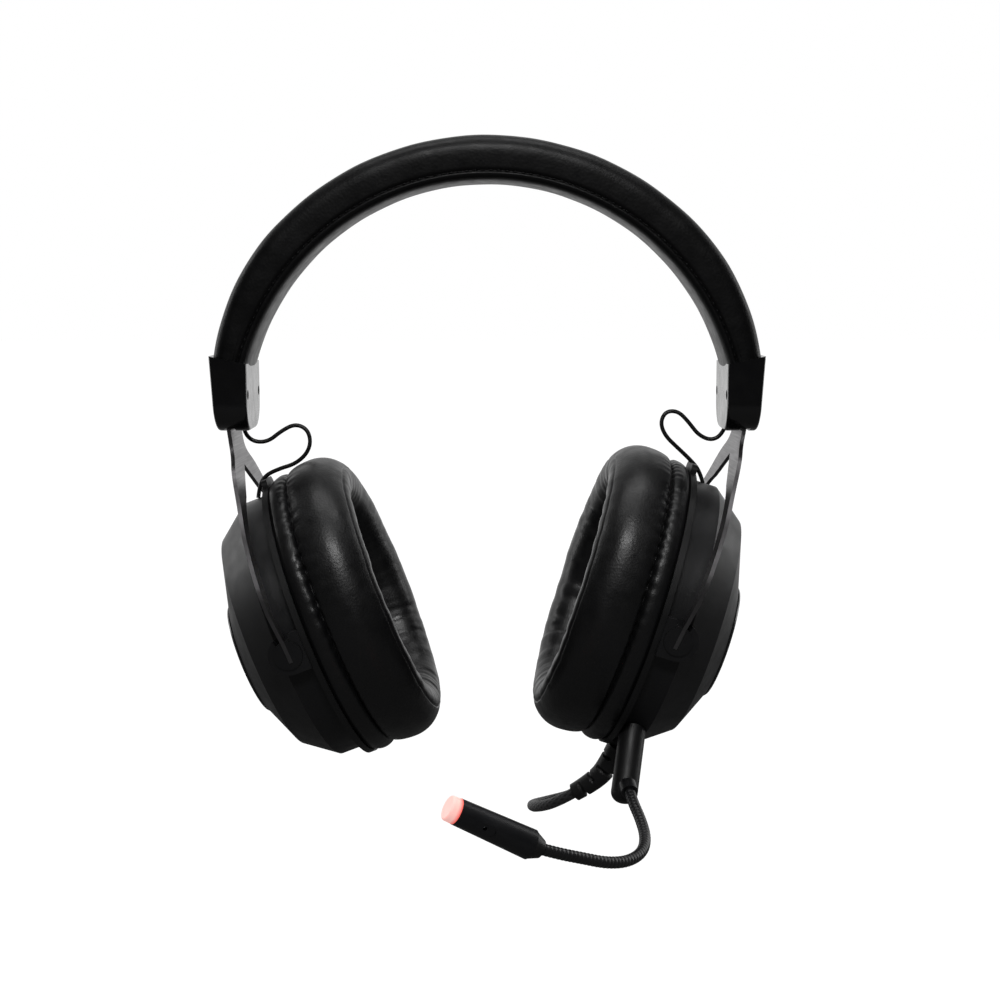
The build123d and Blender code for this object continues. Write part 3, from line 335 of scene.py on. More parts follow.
relief_line, relief_along = line_of(metres(RELIEF_ROUTE), RELIEF_STEP * MM)


def relief_radius(s, angle):
    """Solid segments with a slot between each two, open on alternate sides."""
    left = relief_along[-1] / MM - s / MM
    number, place = divmod(left + RELIEF_FIRST_SEGMENT, RELIEF_PITCH)
    radius = RELIEF_END_RADIUS + RELIEF_SWELLING * min(1.0, left / RELIEF_TAPER_LENGTH)
    slot_faces = RELIEF_SLOT_TURN if number % 2 else RELIEF_SLOT_TURN + math.pi
    if place < RELIEF_SLOT_LENGTH and math.cos(angle - slot_faces) > RELIEF_BRIDGE_COSINE:
        radius -= RELIEF_SLOT_DEPTH
    return radius * min(1.0, left / RELIEF_LIP_LENGTH + RELIEF_LIP_SHARE) * MM


relief = tube_object("strain_relief_slotted", relief_line, relief_radius, RELIEF_SIDES)
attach(relief, "cup_l")
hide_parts("strain_relief")

# ------------------------------------------------------------------ materials


class Material:
    """A node material with a Principled shader and short ways to add to it."""

    def __init__(self, name, color, roughness, metallic=0.0, specular=0.5):
        self.material = bpy.data.materials.new(name)
        self.material.use_nodes = True
        self.tree = self.material.node_tree
        self.shader = self.tree.nodes["Principled BSDF"]
        self.shader.inputs["Base Color"].default_value = (*color, 1.0)
        self.shader.inputs["Roughness"].default_value = roughness
        self.shader.inputs["Metallic"].default_value = metallic
        self.shader.inputs["Specular IOR Level"].default_value = specular
        self.height = None
        self.coordinates = self.node("ShaderNodeTexCoord").outputs["Object"]

    def node(self, kind, **values):
        node = self.tree.nodes.new(kind)
        for key, value in values.items():
            if key.startswith("_"):
                setattr(node, key[1:], value)
            else:
                node.inputs[key.replace("_", " ")].default_value = value
        return node

    def link(self, a, b):
        self.tree.links.new(a, b)

    def stretched(self, scale):
        mapping = self.node("ShaderNodeMapping")
        mapping.inputs["Scale"].default_value = scale
        self.link(self.coordinates, mapping.inputs["Vector"])
        return mapping.outputs["Vector"]

    def noise(self, scale, detail=3.0, vector=None):
        node = self.node("ShaderNodeTexNoise", Scale=scale, Detail=detail)
        self.link(vector or self.coordinates, node.inputs["Vector"])
        return node.outputs["Fac"]

    def cells(self, scale, vector=None, feature="SMOOTH_F1"):
        node = self.node("ShaderNodeTexVoronoi", _feature=feature, Scale=scale)
        self.link(vector or self.coordinates, node.inputs["Vector"])
        return node.outputs["Distance"]

    def combine(self, a, b, operation="ADD"):
        node = self.node("ShaderNodeMath", _operation=operation)
        for socket, value in zip(node.inputs, (a, b)):
            if isinstance(value, (int, float)):
                socket.default_value = value
            else:
                self.link(value, socket)
        return node.outputs[0]

    def spread(self, value, low, high, socket):
        """Maps a 0..1 value to a range and feeds it to one of the shader's inputs."""
        node = self.node("ShaderNodeMapRange", From_Min=0.3, From_Max=0.7, To_Min=low, To_Max=high)
        self.link(value, node.inputs["Value"])
        self.link(node.outputs["Result"], self.shader.inputs[socket])

    def two_colors(self, value, dark, light):
        ramp = self.node("ShaderNodeValToRGB")
        ramp.color_ramp.elements[0].position = 0.3
        ramp.color_ramp.elements[0].color = (*dark, 1.0)
        ramp.color_ramp.elements[1].position = 0.72
        ramp.color_ramp.elements[1].color = (*light, 1.0)
        self.link(value, ramp.inputs["Fac"])
        self.link(ramp.outputs["Color"], self.shader.inputs["Base Color"])

    def bump(self, height, distance, strength=1.0):
        node = self.node("ShaderNodeBump", Distance=distance, Strength=strength)
        self.link(height, node.inputs["Height"])
        if self.height is not None:
            self.link(self.height, node.inputs["Normal"])
        self.height = node.outputs["Normal"]
        self.link(self.height, self.shader.inputs["Normal"])


def tones(color, darkest, lightest):
    """A color made darker by one factor, and lighter by another."""
    return tuple(c * darkest for c in color), tuple(c * lightest for c in color)


def leather(name, grain, depth, color=(0.0045, 0.0045, 0.005), roughness=(0.36, 0.5), specular=0.5):
    """Pebbled imitation leather: small rounded cells, finer pores and a slow change of tone."""
    m = Material(name, color, roughness[0], specular=specular)
    m.shader.inputs["Coat Weight"].default_value = 0.06
    m.shader.inputs["Coat Roughness"].default_value = 0.3
    m.two_colors(m.noise(scale=55.0, detail=4.0), *tones(color, 0.8, 1.35))
    m.spread(m.noise(scale=240.0, detail=2.0), roughness[0], roughness[1], "Roughness")
    m.bump(m.cells(scale=grain), distance=depth, strength=0.6)
    m.bump(m.noise(scale=grain * 2.3, detail=3.0), distance=depth * 0.5, strength=0.35)
    m.bump(m.noise(scale=90.0, detail=2.0), distance=depth * 6, strength=0.25)
    return m.material


def moulded(name, color, roughness, texture=2600.0, depth=0.00004, coat=0.0, specular=0.5):
    """Moulded plastic: a fine spark-eroded texture with faint handling marks."""
    m = Material(name, color, roughness, specular=specular)
    m.shader.inputs["Coat Weight"].default_value = coat
    m.shader.inputs["Coat Roughness"].default_value = 0.08
    m.two_colors(m.noise(scale=70.0, detail=3.0), *tones(color, 0.88, 1.15))
    m.spread(m.noise(scale=170.0, detail=4.0), roughness - 0.04, roughness + 0.07, "Roughness")
    m.bump(m.noise(scale=texture, detail=2.0), distance=depth, strength=0.5)
    return m.material


def steel(name, color, roughness, scale=(60.0, 60.0, 2600.0)):
    """Bead-blasted or brushed steel with fine lines and a little staining."""
    m = Material(name, color, roughness, metallic=1.0)
    lines = m.noise(scale=1.0, detail=4.0, vector=m.stretched(scale))
    m.two_colors(m.noise(scale=90.0, detail=3.0), *tones(color, 0.85, 1.1))
    m.spread(lines, roughness - 0.06, roughness + 0.08, "Roughness")
    m.bump(lines, distance=0.00003, strength=0.4)
    return m.material


BRAID_TURNS = 1400.0
BRAID_STRANDS = 16.0


def braided(name):
    """A woven sleeve: two crossing sets of strands round the cable."""
    m = Material(name, (0.02, 0.02, 0.022), 0.62)
    m.shader.inputs["Sheen Weight"].default_value = 0.25
    uv = m.node("ShaderNodeTexCoord").outputs["UV"]
    split = m.node("ShaderNodeSeparateXYZ")
    m.link(uv, split.inputs[0])
    along = m.combine(split.outputs[0], BRAID_TURNS * math.pi, "MULTIPLY")
    around = m.combine(split.outputs[1], BRAID_STRANDS * math.pi, "MULTIPLY")
    one = m.combine(m.combine(along, around, "ADD"), 0.0, "SINE")
    two = m.combine(m.combine(along, around, "SUBTRACT"), 0.0, "SINE")
    weave = m.combine(one, two, "MAXIMUM")
    lifted = m.combine(m.combine(weave, 0.3, "MULTIPLY"), 0.4, "ADD")
    m.two_colors(lifted, (0.003, 0.003, 0.0035), (0.026, 0.026, 0.028))
    m.bump(lifted, distance=0.0004, strength=0.8)
    m.bump(m.noise(scale=3000.0), distance=0.00005, strength=0.4)
    return m.material


GLOW_START_FROM_TIP = 3.6
GLOW_FADES_PER_METRE = 270.0


def glowing(name):
    """A milky light guide lit from inside, redder where it meets the body."""
    m = Material(name, (1.0, 0.78, 0.74), 0.35)
    m.shader.inputs["Subsurface Weight"].default_value = 0.4
    m.shader.inputs["Subsurface Radius"].default_value = (0.004, 0.002, 0.002)
    tip = Vector(MIC_TIP) * MM
    axis = (MIC_TIP - MIC_REAR).normalized()
    difference = m.node("ShaderNodeVectorMath", _operation="SUBTRACT")
    difference.inputs[1].default_value = tip - axis * GLOW_START_FROM_TIP * MM
    m.link(m.coordinates, difference.inputs[0])
    dot = m.node("ShaderNodeVectorMath", _operation="DOT_PRODUCT")
    dot.inputs[1].default_value = axis
    m.link(difference.outputs[0], dot.inputs[0])
    share = m.combine(dot.outputs["Value"], GLOW_FADES_PER_METRE, "MULTIPLY")
    ramp = m.node("ShaderNodeValToRGB")
    ramp.color_ramp.elements[0].position = 0.02
    ramp.color_ramp.elements[0].color = (1.0, 0.06, 0.03, 1.0)
    ramp.color_ramp.elements[1].position = 0.45
    ramp.color_ramp.elements[1].color = (1.0, 0.55, 0.5, 1.0)
    m.link(m.combine(share, m.combine(m.noise(scale=600.0), 0.06, "MULTIPLY")), ramp.inputs["Fac"])
    m.link(ramp.outputs["Color"], m.shader.inputs["Emission Color"])
    m.shader.inputs["Emission Strength"].default_value = 0.7
    m.link(ramp.outputs["Color"], m.shader.inputs["Base Color"])
    return m.material


def cloth_weave(name, color):
    """Thin open cloth of crossing threads."""
    m = Material(name, color, 0.85)
    m.shader.inputs["Sheen Weight"].default_value = 0.15
    across = m.node("ShaderNodeTexWave", _wave_type="BANDS", _bands_direction="Y", Scale=520.0)
    down = m.node("ShaderNodeTexWave", _wave_type="BANDS", _bands_direction="Z", Scale=520.0)
    m.link(m.coordinates, across.inputs["Vector"])
    m.link(m.coordinates, down.inputs["Vector"])
    weave = m.combine(across.outputs["Fac"], down.outputs["Fac"], "MULTIPLY")
    m.two_colors(weave, *tones(color, 0.5, 1.6))
    m.bump(weave, distance=0.0001, strength=0.7)
    return m.material


def circuit(name):
    """A green board with darker and lighter fields."""
    m = Material(name, (0.01, 0.09, 0.035), 0.4)
    m.two_colors(m.cells(scale=260.0), (0.008, 0.06, 0.025), (0.02, 0.14, 0.05))
    m.bump(m.noise(scale=900.0), distance=0.00005, strength=0.5)
    return m.material


MATERIALS = {
    "headband_leather": leather("band_leather", 1150.0, 0.00009, (0.003, 0.003, 0.0033), (0.38, 0.5), 0.22),
    "cushion_leather": leather("cushion_leather", 1350.0, 0.00008, roughness=(0.34, 0.46)),
    "gloss_shell": moulded("gloss_shell", (0.004, 0.004, 0.0045), 0.2, 1800.0, 0.00001, coat=0.25),
    "satin_shell": moulded("satin_shell", (0.0075, 0.0075, 0.0085), 0.42, specular=0.45),
    "matte_shell": moulded("matte_shell", (0.0065, 0.0065, 0.007), 0.44, specular=0.45),
    "mic_shell": moulded("mic_shell", (0.007, 0.007, 0.0085), 0.38),
    "plate_gloss": moulded("plate_gloss", (0.006, 0.006, 0.007), 0.27, coat=0.25),
    "pivot_plastic": moulded("pivot_plastic", (0.006, 0.006, 0.007), 0.36),
    "yoke_steel": steel("yoke_steel", (0.17, 0.165, 0.17), 0.34),
    "screw_steel": steel("screw_steel", (0.07, 0.07, 0.075), 0.34),
    "magnet_steel": steel("magnet_steel", (0.4, 0.4, 0.42), 0.3),
    "plug_steel": steel("plug_steel", (0.72, 0.72, 0.74), 0.22),
    "spring_steel": steel("spring_steel", (0.4, 0.41, 0.43), 0.35),
    "lead_jacket": moulded("lead_jacket", (0.005, 0.005, 0.005), 0.38),
    "gooseneck_sleeve": moulded("gooseneck_sleeve", (0.014, 0.014, 0.015), 0.34),
    "relief_rubber": moulded("relief_rubber", (0.006, 0.006, 0.0065), 0.48),
    "cable_braid": braided("cable_braid"),
    "light_guide": glowing("light_guide"),
    "ear_cloth": cloth_weave("ear_cloth", (0.02, 0.02, 0.021)),
    "foam": moulded("foam", (0.05, 0.05, 0.05), 0.9, 1500.0, 0.0004),
    "cone_film": moulded("cone_film", (0.4, 0.4, 0.38), 0.35),
    "board": circuit("board"),
    "plug_blue": moulded("plug_tongue_plastic", (0.01, 0.01, 0.012), 0.4),
}


def dress(obj, slot_name):
    obj.data.materials.clear()
    obj.data.materials.append(MATERIALS[slot_name])
    return obj


dress(cable, "cable_braid")
dress(gooseneck, "gooseneck_sleeve")
dress(relief, "relief_rubber")
for lead in leads:
    dress(lead, "lead_jacket")

NODE_SLOT = {entry["node"]: entry["material_slot"] for entry in frame["record"]["subparts"]}
BEVELS = {
    "cup_housing": 0.35, "cup_plate": 0.2, "cap_outer": 0.3, "cap_inner": 0.3, "baffle": 0.35,
    "yoke": 0.18, "pivot_front": 0.25, "pivot_rear": 0.25, "mic_body": 0.2, "mic_collar": 0.2,
    "mic_post": 0.3, "boom_collar": 0.25, "plug_body": 0.3, "cable_tie": 0.3,
}
SHARP_EDGE = math.radians(28)
for name, node in frame["nodes"].items():
    dress(node, NODE_SLOT[name])
    node.data.polygons.foreach_set("use_smooth", [True] * len(node.data.polygons))
    node.data.set_sharp_from_angle(angle=SHARP_EDGE)
    stem = name[:-2] if name[-2:] in ("_r", "_l") else name
    if stem in BEVELS:
        bevel = node.modifiers.new("worn_edges", "BEVEL")
        bevel.width = BEVELS[stem] * MM
        bevel.segments = 3
        bevel.limit_method = "ANGLE"
        bevel.angle_limit = SHARP_EDGE
        bevel.harden_normals = True

# ------------------------------------------------------------------ soft shapes from grids


def smooth_rows(values, count, closed):
    """Catmull-Rom interpolation of an array along its first index, to count rows."""
    n = len(values)
    places = np.linspace(0, n if closed else n - 1, count, endpoint=not closed)
    base = np.floor(places).astype(int)
    if not closed:
        base = np.minimum(base, n - 2)
    t = (places - base).reshape((-1,) + (1,) * (values.ndim - 1))

    def at(index):
        return values[index % n] if closed else values[np.clip(index, 0, n - 1)]

    p0, p1, p2, p3 = at(base - 1), at(base), at(base + 1), at(base + 2)
    return 0.5 * (
        2 * p1 + (p2 - p0) * t + (2 * p0 - 5 * p1 + 4 * p2 - p3) * t**2
        + (3 * p1 - p0 - 3 * p2 + p3) * t**3
    )


def ripple(u, count, seed, spread=0.3):
    """A wavy line round a closed edge, about -1..1, whose waves differ in size and spacing."""
    dice = random.Random(seed)
    total = np.zeros_like(u)
    for k in range(9):
        waves = round(count * (1 + spread * dice.uniform(-1, 1)))
        total += dice.uniform(0.5, 1.0) * np.sin(waves * u + dice.uniform(0, 6.28))
    return np.tanh(total / 2.2) * 1.1


CLOTH_FRAMES = 20
CUSHION_PRESSURE = 3.0
CUSHION_SWELL_LIMIT = 1.3


def puff(obj, pinned, pressure, limit):
    """Inflates a closed mesh as cloth held at its seams, moving no point further than limit."""
    before = np.array([v.co for v in obj.data.vertices])
    scene = bpy.context.scene
    group = obj.vertex_groups.new(name="seams")
    group.add([int(i) for i in pinned], 1.0, "REPLACE")
    cloth = obj.modifiers.new("cloth", "CLOTH")
    cloth.settings.quality = 6
    cloth.settings.mass = 0.15
    cloth.settings.tension_stiffness = 18
    cloth.settings.compression_stiffness = 18
    cloth.settings.shear_stiffness = 8
    cloth.settings.bending_stiffness = 0.6
    cloth.settings.use_pressure = True
    cloth.settings.uniform_pressure_force = pressure
    cloth.settings.vertex_group_mass = "seams"
    cloth.settings.effector_weights.gravity = 0.0
    for number in range(1, CLOTH_FRAMES + 1):
        scene.frame_set(number)
    depsgraph = bpy.context.evaluated_depsgraph_get()
    settled = obj.evaluated_get(depsgraph).to_mesh()
    after = np.array([v.co for v in settled.vertices])
    obj.evaluated_get(depsgraph).to_mesh_clear()
    obj.modifiers.remove(cloth)
    scene.frame_set(1)
    move = after - before
    size = np.linalg.norm(move, axis=1)
    move *= (np.minimum(size, limit) / np.maximum(size, 1e-9))[:, None]
    return before + move


# Each station of a cushion's section: depth from the baffle, inset from the roll's outline,
# share of the gathers, share of the pleats, and whether a seam holds it there.
CUSHION_SECTION = [
    (0.0, 2.0, 0.0, 0.0, True), (0.4, 1.1, 0.0, 0.0, True), (2.0, 0.3, 0.05, 0.0, False),
    (4.0, 0.1, 0.25, 0.0, False), (5.8, 0.6, 0.75, 0.0, False), (7.0, 2.0, 1.0, 0.0, True),
    (7.3, 2.2, 0.8, 0.0, True), (7.8, 1.0, 0.75, 0.0, False), (9.0, 0.2, 0.4, 0.0, False),
    (11.6, -0.5, 0.12, 0.0, False), (15.2, -0.8, 0.0, 0.0, False), (18.2, -0.6, 0.0, 0.0, False),
    (21.2, 0.3, 0.0, 0.0, False), (23.8, 1.9, 0.0, 0.03, False), (25.8, 3.9, 0.0, 0.15, False),
    (26.9, 5.6, 0.0, 0.3, True), (26.8, 6.3, 0.0, 0.35, True), (27.6, 7.2, 0.0, 0.45, False),
    (28.0, 9.0, 0.0, 0.6, False), (27.6, 12.0, 0.0, 0.8, False), (26.0, 15.2, 0.0, 1.0, False),
    (23.0, 17.6, 0.0, 1.0, False), (18.5, 18.8, 0.0, 1.0, False), (12.0, 19.3, 0.0, 0.9, False),
    (6.0, 19.4, 0.0, 0.6, False), (1.2, 19.2, 0.0, 0.2, True), (0.4, 17.0, 0.0, 0.0, True),
    (0.2, 11.0, 0.0, 0.0, True), (0.1, 6.0, 0.0, 0.0, True),
]
COARSE_ROUND = 120
FINE_ROUND = 720
FINE_SECTION = 174
ROLL_COLUMN = 60
RISE_DEPTH = 8.0
SKIRT_DEPTHS = (0.3, 7.2)
SKIRT_SAG = 0.9
GATHER_HEIGHT = 0.2
FOLD_HEIGHT = 0.2
SMALL_FOLD_HEIGHT = 0.07
SWELL_HEIGHT = 0.16


def cup_axes(key):
    """A cup's pivot, and its outward, tilt and upward directions."""
    joint = TILT_JOINTS[key]
    pivot = np.array(joint["pos_m"])
    return pivot, np.array(CUP_OUT[key]), np.array(joint["axis"]), np.array(CUP_UP[key])


def cushion_grid(key):
    """A cushion before it is filled: its section carried round the oval."""
    pivot, out, along, up = cup_axes(key)
    around = np.linspace(0, 2 * math.pi, COARSE_ROUND, endpoint=False)
    grid = np.zeros((COARSE_ROUND, len(CUSHION_SECTION), 3))
    for j, (depth, inset, _, _, _) in enumerate(CUSHION_SECTION):
        rise = CUP_CENTRE_Z + ROLL_RISE * min(1.0, depth / RISE_DEPTH)
        wide, tall = ROLL_SIZE[0] - inset, ROLL_SIZE[1] - inset
        for i, angle in enumerate(around):
            # the lower part of the skirt stands a little off the baffle
            sag = SKIRT_SAG * max(0.0, -math.sin(angle)) ** 3
            n = depth + (sag if SKIRT_DEPTHS[0] < depth < SKIRT_DEPTHS[1] else 0.0)
            y, z = wide * math.cos(angle), rise + tall * math.sin(angle)
            grid[i, j] = pivot + (out * (RING_BACK_X - n) + along * y + up * z) * MM
    return grid


def filled_cushion(key):
    """The cushion's grid after the cloth has settled, smoothed to its fine spacing."""
    coarse = grid_object(f"cushion_coarse_{key}", cushion_grid(key), close_u=True)
    rows = len(CUSHION_SECTION)
    pinned = [i * rows + j for i in range(COARSE_ROUND) for j in range(rows) if CUSHION_SECTION[j][4]]
    settled = puff(coarse, pinned, CUSHION_PRESSURE, CUSHION_SWELL_LIMIT * MM)
    bpy.data.objects.remove(coarse)
    fine = smooth_rows(settled.reshape(COARSE_ROUND, rows, 3), FINE_ROUND, True)
    return smooth_rows(fine.transpose(1, 0, 2), FINE_SECTION, True).transpose(1, 0, 2)


def outward_normals(grid):
    """Unit normals of a closed grid, turned away from its middle."""
    du = np.roll(grid, -1, 0) - np.roll(grid, 1, 0)
    dv = np.roll(grid, -1, 1) - np.roll(grid, 1, 1)
    normal = np.cross(du, dv)
    normal /= np.linalg.norm(normal, axis=2)[..., None] + 1e-12
    from_centre = grid[0, ROLL_COLUMN] - grid.mean(axis=(0, 1))
    return normal * np.sign(np.sum(normal[0, ROLL_COLUMN] * from_centre))


def cushion_wrinkles(seed):
    """Millimetres to raise each point by: gathers along the crease, and folds inside the opening."""
    weights = smooth_rows(np.array([s[2:4] for s in CUSHION_SECTION]), FINE_SECTION, True).clip(0, 1)
    gather, pleat = weights[:, 0], weights[:, 1]
    u = np.linspace(0, 2 * math.pi, FINE_ROUND, endpoint=False)
    v = np.linspace(0, 1, FINE_SECTION, endpoint=False)
    scallops = ripple(u, 74, seed, 0.25)
    folds = ripple(u, 24, seed + 1, 0.55)
    small_folds = ripple(u, 52, seed + 2, 0.4)
    swell = ripple(u, 6, seed + 3, 0.7)
    # the gathers fade out round the bottom, where the skirt is pulled tight
    held = np.clip(0.75 + 0.7 * np.sin(u), 0.12, 1.0)
    depth_of_folds = pleat * (0.8 + 0.2 * np.sin(v * 40.0))
    raised = GATHER_HEIGHT * (scallops * held)[:, None] * gather[None, :]
    raised += (FOLD_HEIGHT * folds + SMALL_FOLD_HEIGHT * small_folds)[:, None] * depth_of_folds[None, :]
    return raised + SWELL_HEIGHT * swell[:, None]


def make_cushion(key, seed):
    """One ear cushion, which rides its cup in place of the model's."""
    fine = filled_cushion(key)
    fine = fine + outward_normals(fine) * cushion_wrinkles(seed)[..., None] * MM
    cushion = grid_object(f"cushion_{key}", fine, close_u=True)
    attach(cushion, f"cup_{key}")
    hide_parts(f"ear_cushion_{key}")
    return dress(cushion, "cushion_leather")


make_cushion("r", seed=11)
make_cushion("l", seed=23)

# ------------------------------------------------------------------ headband

BAND_TOP_RADIUS = 103.8
BAND_SIDE_RADIUS = 84.0
BAND_INNER_RADIUS = 87.7
BAND_CENTRE_Z = -87.7
BAND_ARC_CHANGE = math.radians(45.0)
BAND_OUTER_END = math.radians(80.85)
BAND_INNER_END = math.radians(73.6)
BAND_HALF_WIDTH = 15.5
BAND_STATIONS = 260
BAND_SECTION_POINTS = 150
BAND_PAST_CAP = 1.03
BAND_UNEVENNESS = 0.1
SEAM_HEIGHT = 3.4
SEAM_WIDTH_SHARE = 0.972


def band_outer(share):
    """A point of the outer outline, by its share of the way from the crown to the cap."""
    reach = (BAND_TOP_RADIUS - BAND_SIDE_RADIUS) * math.sin(BAND_ARC_CHANGE)
    top_length = BAND_TOP_RADIUS * BAND_ARC_CHANGE
    side_length = BAND_SIDE_RADIUS * (BAND_OUTER_END - BAND_ARC_CHANGE)
    s = abs(share) * (top_length + side_length)
    if s <= top_length:
        angle, r, x0, z0 = s / BAND_TOP_RADIUS, BAND_TOP_RADIUS, 0.0, BAND_CENTRE_Z
    else:
        angle = BAND_ARC_CHANGE + (s - top_length) / BAND_SIDE_RADIUS
        r, x0, z0 = BAND_SIDE_RADIUS, reach, BAND_CENTRE_Z + reach
    return np.array([math.copysign(x0 + r * math.sin(angle), share), 0.0, z0 + r * math.cos(angle)])


def band_inner(share):
    """A point of the inner outline, by its share of the way from the crown to the cap."""
    angle = share * BAND_INNER_END
    return np.array([
        BAND_INNER_RADIUS * math.sin(angle), 0.0, BAND_CENTRE_Z + BAND_INNER_RADIUS * math.cos(angle),
    ])


def band_through(share):
    """The outer outline's point, the way inward from it, and the band's thickness there."""
    outer = band_outer(share)
    through = band_inner(share) - outer
    thick = np.linalg.norm(through)
    return outer, through / thick, thick


# The band's section on its front half, as the share of the half width and a depth: first from the
# middle of the top down, in from the outer outline, then round to the middle of the underside, in
# from the inner outline when negative.
BAND_TOP_SECTION = [
    (0.0, 0.0), (0.35, 0.05), (0.62, 0.25), (0.79, 0.8), (0.9, 1.9), (0.97, 3.6), (1.0, 5.6), (1.005, 8.0),
]
BAND_UNDER_SECTION = [
    (1.0, -5.2), (0.992, -4.3), (0.968, -3.75), (0.955, -SEAM_HEIGHT), (0.968, -3.05), (0.985, -2.5),
    (0.965, -1.55), (0.9, -0.8), (0.8, -0.3), (0.62, 0.0), (0.4, 0.15), (0.2, 0.2), (0.0, 0.2),
]


def seam_point(share, y_sign):
    """A point of the seam along the band's front (y_sign 1) or rear (-1) lower edge."""
    outer, inward, thick = band_through(share)
    point = outer + inward * (thick - SEAM_HEIGHT)
    point[1] = -y_sign * SEAM_WIDTH_SHARE * BAND_HALF_WIDTH
    return point


def band_section(share):
    """One closed section: front half from the top down, then the rear half back up."""
    outer, inward, thick = band_through(share)
    half = [(outer + inward * depth, width * BAND_HALF_WIDTH) for width, depth in BAND_TOP_SECTION]
    for width, depth in BAND_UNDER_SECTION:
        half.append((outer + inward * (thick + depth), width * BAND_HALF_WIDTH))
    ring = [(p[0], -w, p[2]) for p, w in half]
    ring += [(p[0], w, p[2]) for p, w in reversed(half[1:-1])]
    return ring


shares = np.linspace(-BAND_PAST_CAP, BAND_PAST_CAP, BAND_STATIONS)
band_grid = np.array([band_section(s) for s in shares])
band_fine = smooth_rows(band_grid.transpose(1, 0, 2), BAND_SECTION_POINTS, True).transpose(1, 0, 2)
dice = random.Random(5)
short_waves = np.sin(np.linspace(0, 60, BAND_STATIONS) + dice.random())
long_waves = np.sin(np.linspace(0, 23, BAND_STATIONS))
swell = BAND_UNEVENNESS * short_waves * long_waves
band_middle = band_fine.mean(axis=1, keepdims=True)
away_from_middle = band_fine - band_middle
away_from_middle /= np.linalg.norm(away_from_middle, axis=2)[..., None]
band_fine = band_fine + away_from_middle * swell[:, None, None]
band = grid_object("headband_wrap", band_fine * MM, cap=True)
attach(band, "headband")
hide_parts("headband_cover", "headband_foam")
dress(band, "headband_leather")

STITCH_COUNT = 84
STITCH_LENGTH = 1.7
STITCH_THICK = 0.55
STITCH_RINGS = 5
STITCH_SIDES = 6
STITCHES_END = 0.985


def stitch_mesh(name, places, length, thick, body, slot_name):
    """A row of sewn stitches: small rounded beads, each at a place with a direction and a normal."""
    vertices, faces = [], []
    rings, sides = STITCH_RINGS, STITCH_SIDES
    for centre, direction, normal in places:
        direction = direction / np.linalg.norm(direction)
        normal = normal - direction * np.dot(normal, direction)
        normal /= np.linalg.norm(normal)
        third = np.cross(direction, normal)
        start = len(vertices)
        for i in range(rings):
            along = -math.cos(math.pi * (i + 0.5) / rings)
            r = math.sqrt(max(0.0, 1 - along**2))
            for j in range(sides):
                a = 2 * math.pi * j / sides
                outward = (normal * math.cos(a) + third * math.sin(a)) * r * thick / 2
                vertices.append(tuple(centre + direction * along * length / 2 + outward))
        for i in range(rings - 1):
            for j in range(sides):
                k = (j + 1) % sides
                faces.append((
                    start + i * sides + j, start + i * sides + k,
                    start + (i + 1) * sides + k, start + (i + 1) * sides + j,
                ))
        faces.append(tuple(start + j for j in reversed(range(sides))))
        faces.append(tuple(start + (rings - 1) * sides + j for j in range(sides)))
    mesh = bpy.data.meshes.new(name)
    mesh.from_pydata(vertices, [], faces)
    mesh.polygons.foreach_set("use_smooth", [True] * len(mesh.polygons))
    obj = bpy.data.objects.new(name, mesh)
    bpy.context.scene.collection.objects.link(obj)
    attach(obj, body)
    return dress(obj, slot_name)


for y_sign, end in ((1, "front"), (-1, "rear")):
    places = []
    for share in np.linspace(-STITCHES_END, STITCHES_END, STITCH_COUNT):
        here = seam_point(share, y_sign) * MM
        ahead = seam_point(share + 0.004, y_sign) * MM
        places.append((here, ahead - here, np.array([0.0, -y_sign, 0.0])))
    stitch_mesh(
        f"band_stitches_{end}", places, STITCH_LENGTH * MM, STITCH_THICK * MM,
        "headband", "headband_leather",
    )

# ------------------------------------------------------------------ stage and light

FLOOR_DROP = 0.02
FLOOR_REACH = 6.0


def light_room(tree, coordinates, axis, low, high):
    """A brightness that rises smoothly along one axis, from low to high, each (place, brightness)."""
    split = tree.nodes.new("ShaderNodeSeparateXYZ")
    tree.links.new(tree.nodes.new("ShaderNodeTexCoord").outputs[coordinates], split.inputs[0])
    rising = tree.nodes.new("ShaderNodeMapRange")
    rising.interpolation_type = "SMOOTHSTEP"
    rising.inputs["From Min"].default_value, rising.inputs["To Min"].default_value = low
    rising.inputs["From Max"].default_value, rising.inputs["To Max"].default_value = high
    tree.links.new(split.outputs[axis], rising.inputs["Value"])
    return rising, split


def white_when_seen(tree, otherwise, socket):
    """Feeds a socket 1 where the camera looks straight at it, and another value in reflections."""
    seen = tree.nodes.new("ShaderNodeLightPath")
    choose = tree.nodes.new("ShaderNodeMix")
    choose.data_type = "FLOAT"
    choose.inputs["B"].default_value = 1.0
    tree.links.new(seen.outputs["Is Camera Ray"], choose.inputs["Factor"])
    tree.links.new(otherwise, choose.inputs["A"])
    tree.links.new(choose.outputs["Result"], socket)


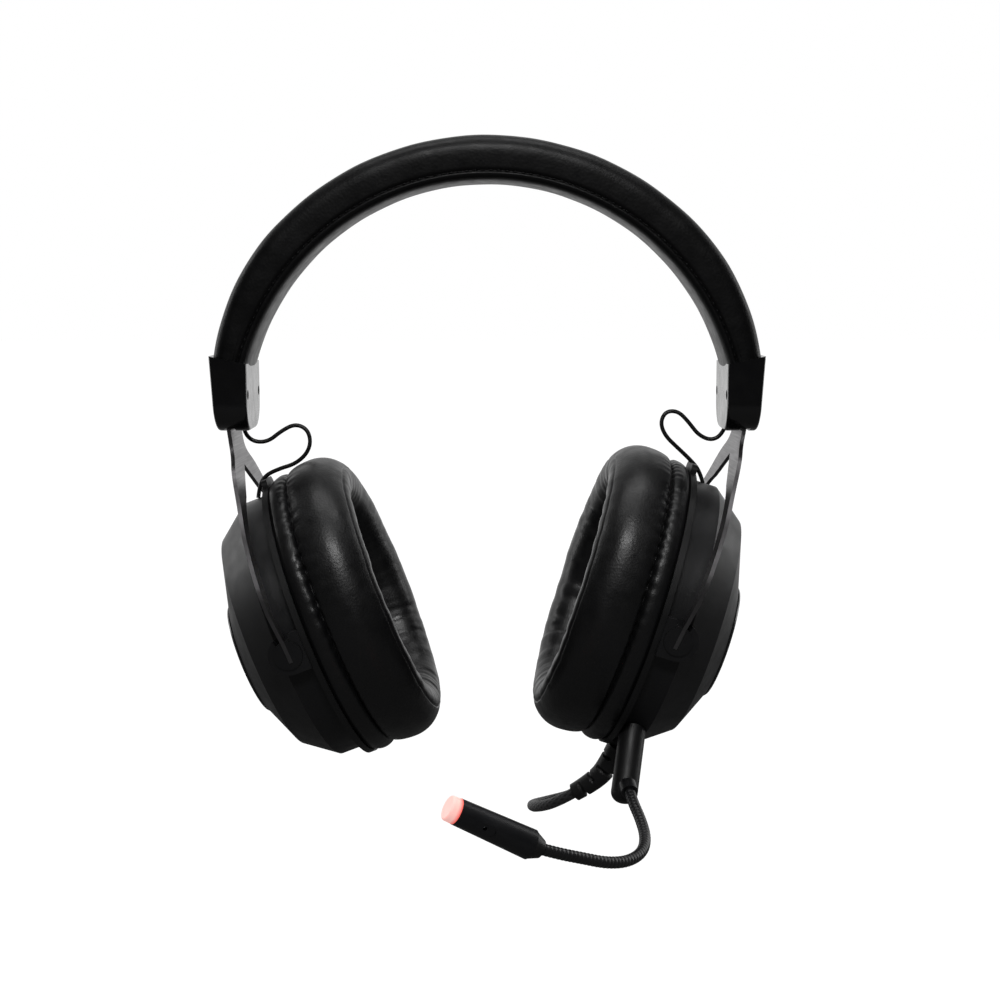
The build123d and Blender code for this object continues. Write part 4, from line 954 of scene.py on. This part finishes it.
floor_z = CAD_BOX[0][2] - FLOOR_DROP
floor_mesh = bpy.data.meshes.new("floor")
floor_signs = [(-1, -1), (1, -1), (1, 1), (-1, 1)]
floor_corners = [(x * FLOOR_REACH, y * FLOOR_REACH, floor_z) for x, y in floor_signs]
floor_mesh.from_pydata(floor_corners, [], [(0, 1, 2, 3)])
floor = bpy.data.objects.new("floor", floor_mesh)
bpy.context.scene.collection.objects.link(floor)
floor_material = bpy.data.materials.new("pale_floor")
floor_material.use_nodes = True
floor_tree = floor_material.node_tree
surface = floor_tree.nodes["Principled BSDF"]
surface.inputs["Base Color"].default_value = (0.08, 0.08, 0.08, 1)
surface.inputs["Roughness"].default_value = 0.9
surface.inputs["Emission Color"].default_value = (1, 1, 1, 1)
floor_behind, _ = light_room(floor_tree, "Object", 1, low=(0.05, 0.02), high=(1.0, 0.9))
white_when_seen(floor_tree, floor_behind.outputs["Result"], surface.inputs["Emission Strength"])
floor_mesh.materials.append(floor_material)

# a bright wall behind the object and a dim room in front of it, as on a white studio sweep
world = bpy.data.worlds.new("studio")
bpy.context.scene.world = world
world.use_nodes = True
sky = world.node_tree
background = sky.nodes["Background"]
background.inputs["Strength"].default_value = 1.0
behind, direction = light_room(sky, "Generated", 1, low=(0.2, 0.02), high=(0.95, 0.85))
above = sky.nodes.new("ShaderNodeMapRange")
above.inputs["To Max"].default_value = 0.06
sky.links.new(direction.outputs[2], above.inputs["Value"])
room = sky.nodes.new("ShaderNodeMath")
sky.links.new(behind.outputs["Result"], room.inputs[0])
sky.links.new(above.outputs["Result"], room.inputs[1])
white_when_seen(sky, room.outputs[0], background.inputs["Color"])


def soft_light(name, place, size, power, target=(0, 0, -0.12)):
    """An area light aimed at the middle of the headset."""
    data = bpy.data.lights.new(name, "AREA")
    data.shape = "RECTANGLE"
    data.size, data.size_y = size
    data.energy = power
    obj = bpy.data.objects.new(name, data)
    bpy.context.scene.collection.objects.link(obj)
    obj.location = place
    direction = Vector(target) - Vector(place)
    obj.rotation_euler = direction.to_track_quat("-Z", "Y").to_euler()
    return obj


soft_light("overhead", (0.0, 0.0, 0.8), (0.9, 0.4), 3.2)
soft_light("front_upper", (0.0, -0.75, 0.5), (0.3, 0.16), 3.2)
soft_light("right_strip", (-0.75, 0.3, 0.0), (0.2, 0.9), 1.6)
soft_light("left_strip", (0.75, 0.3, 0.0), (0.2, 0.9), 1.6)

bpy.context.scene.view_settings.view_transform = "Standard"
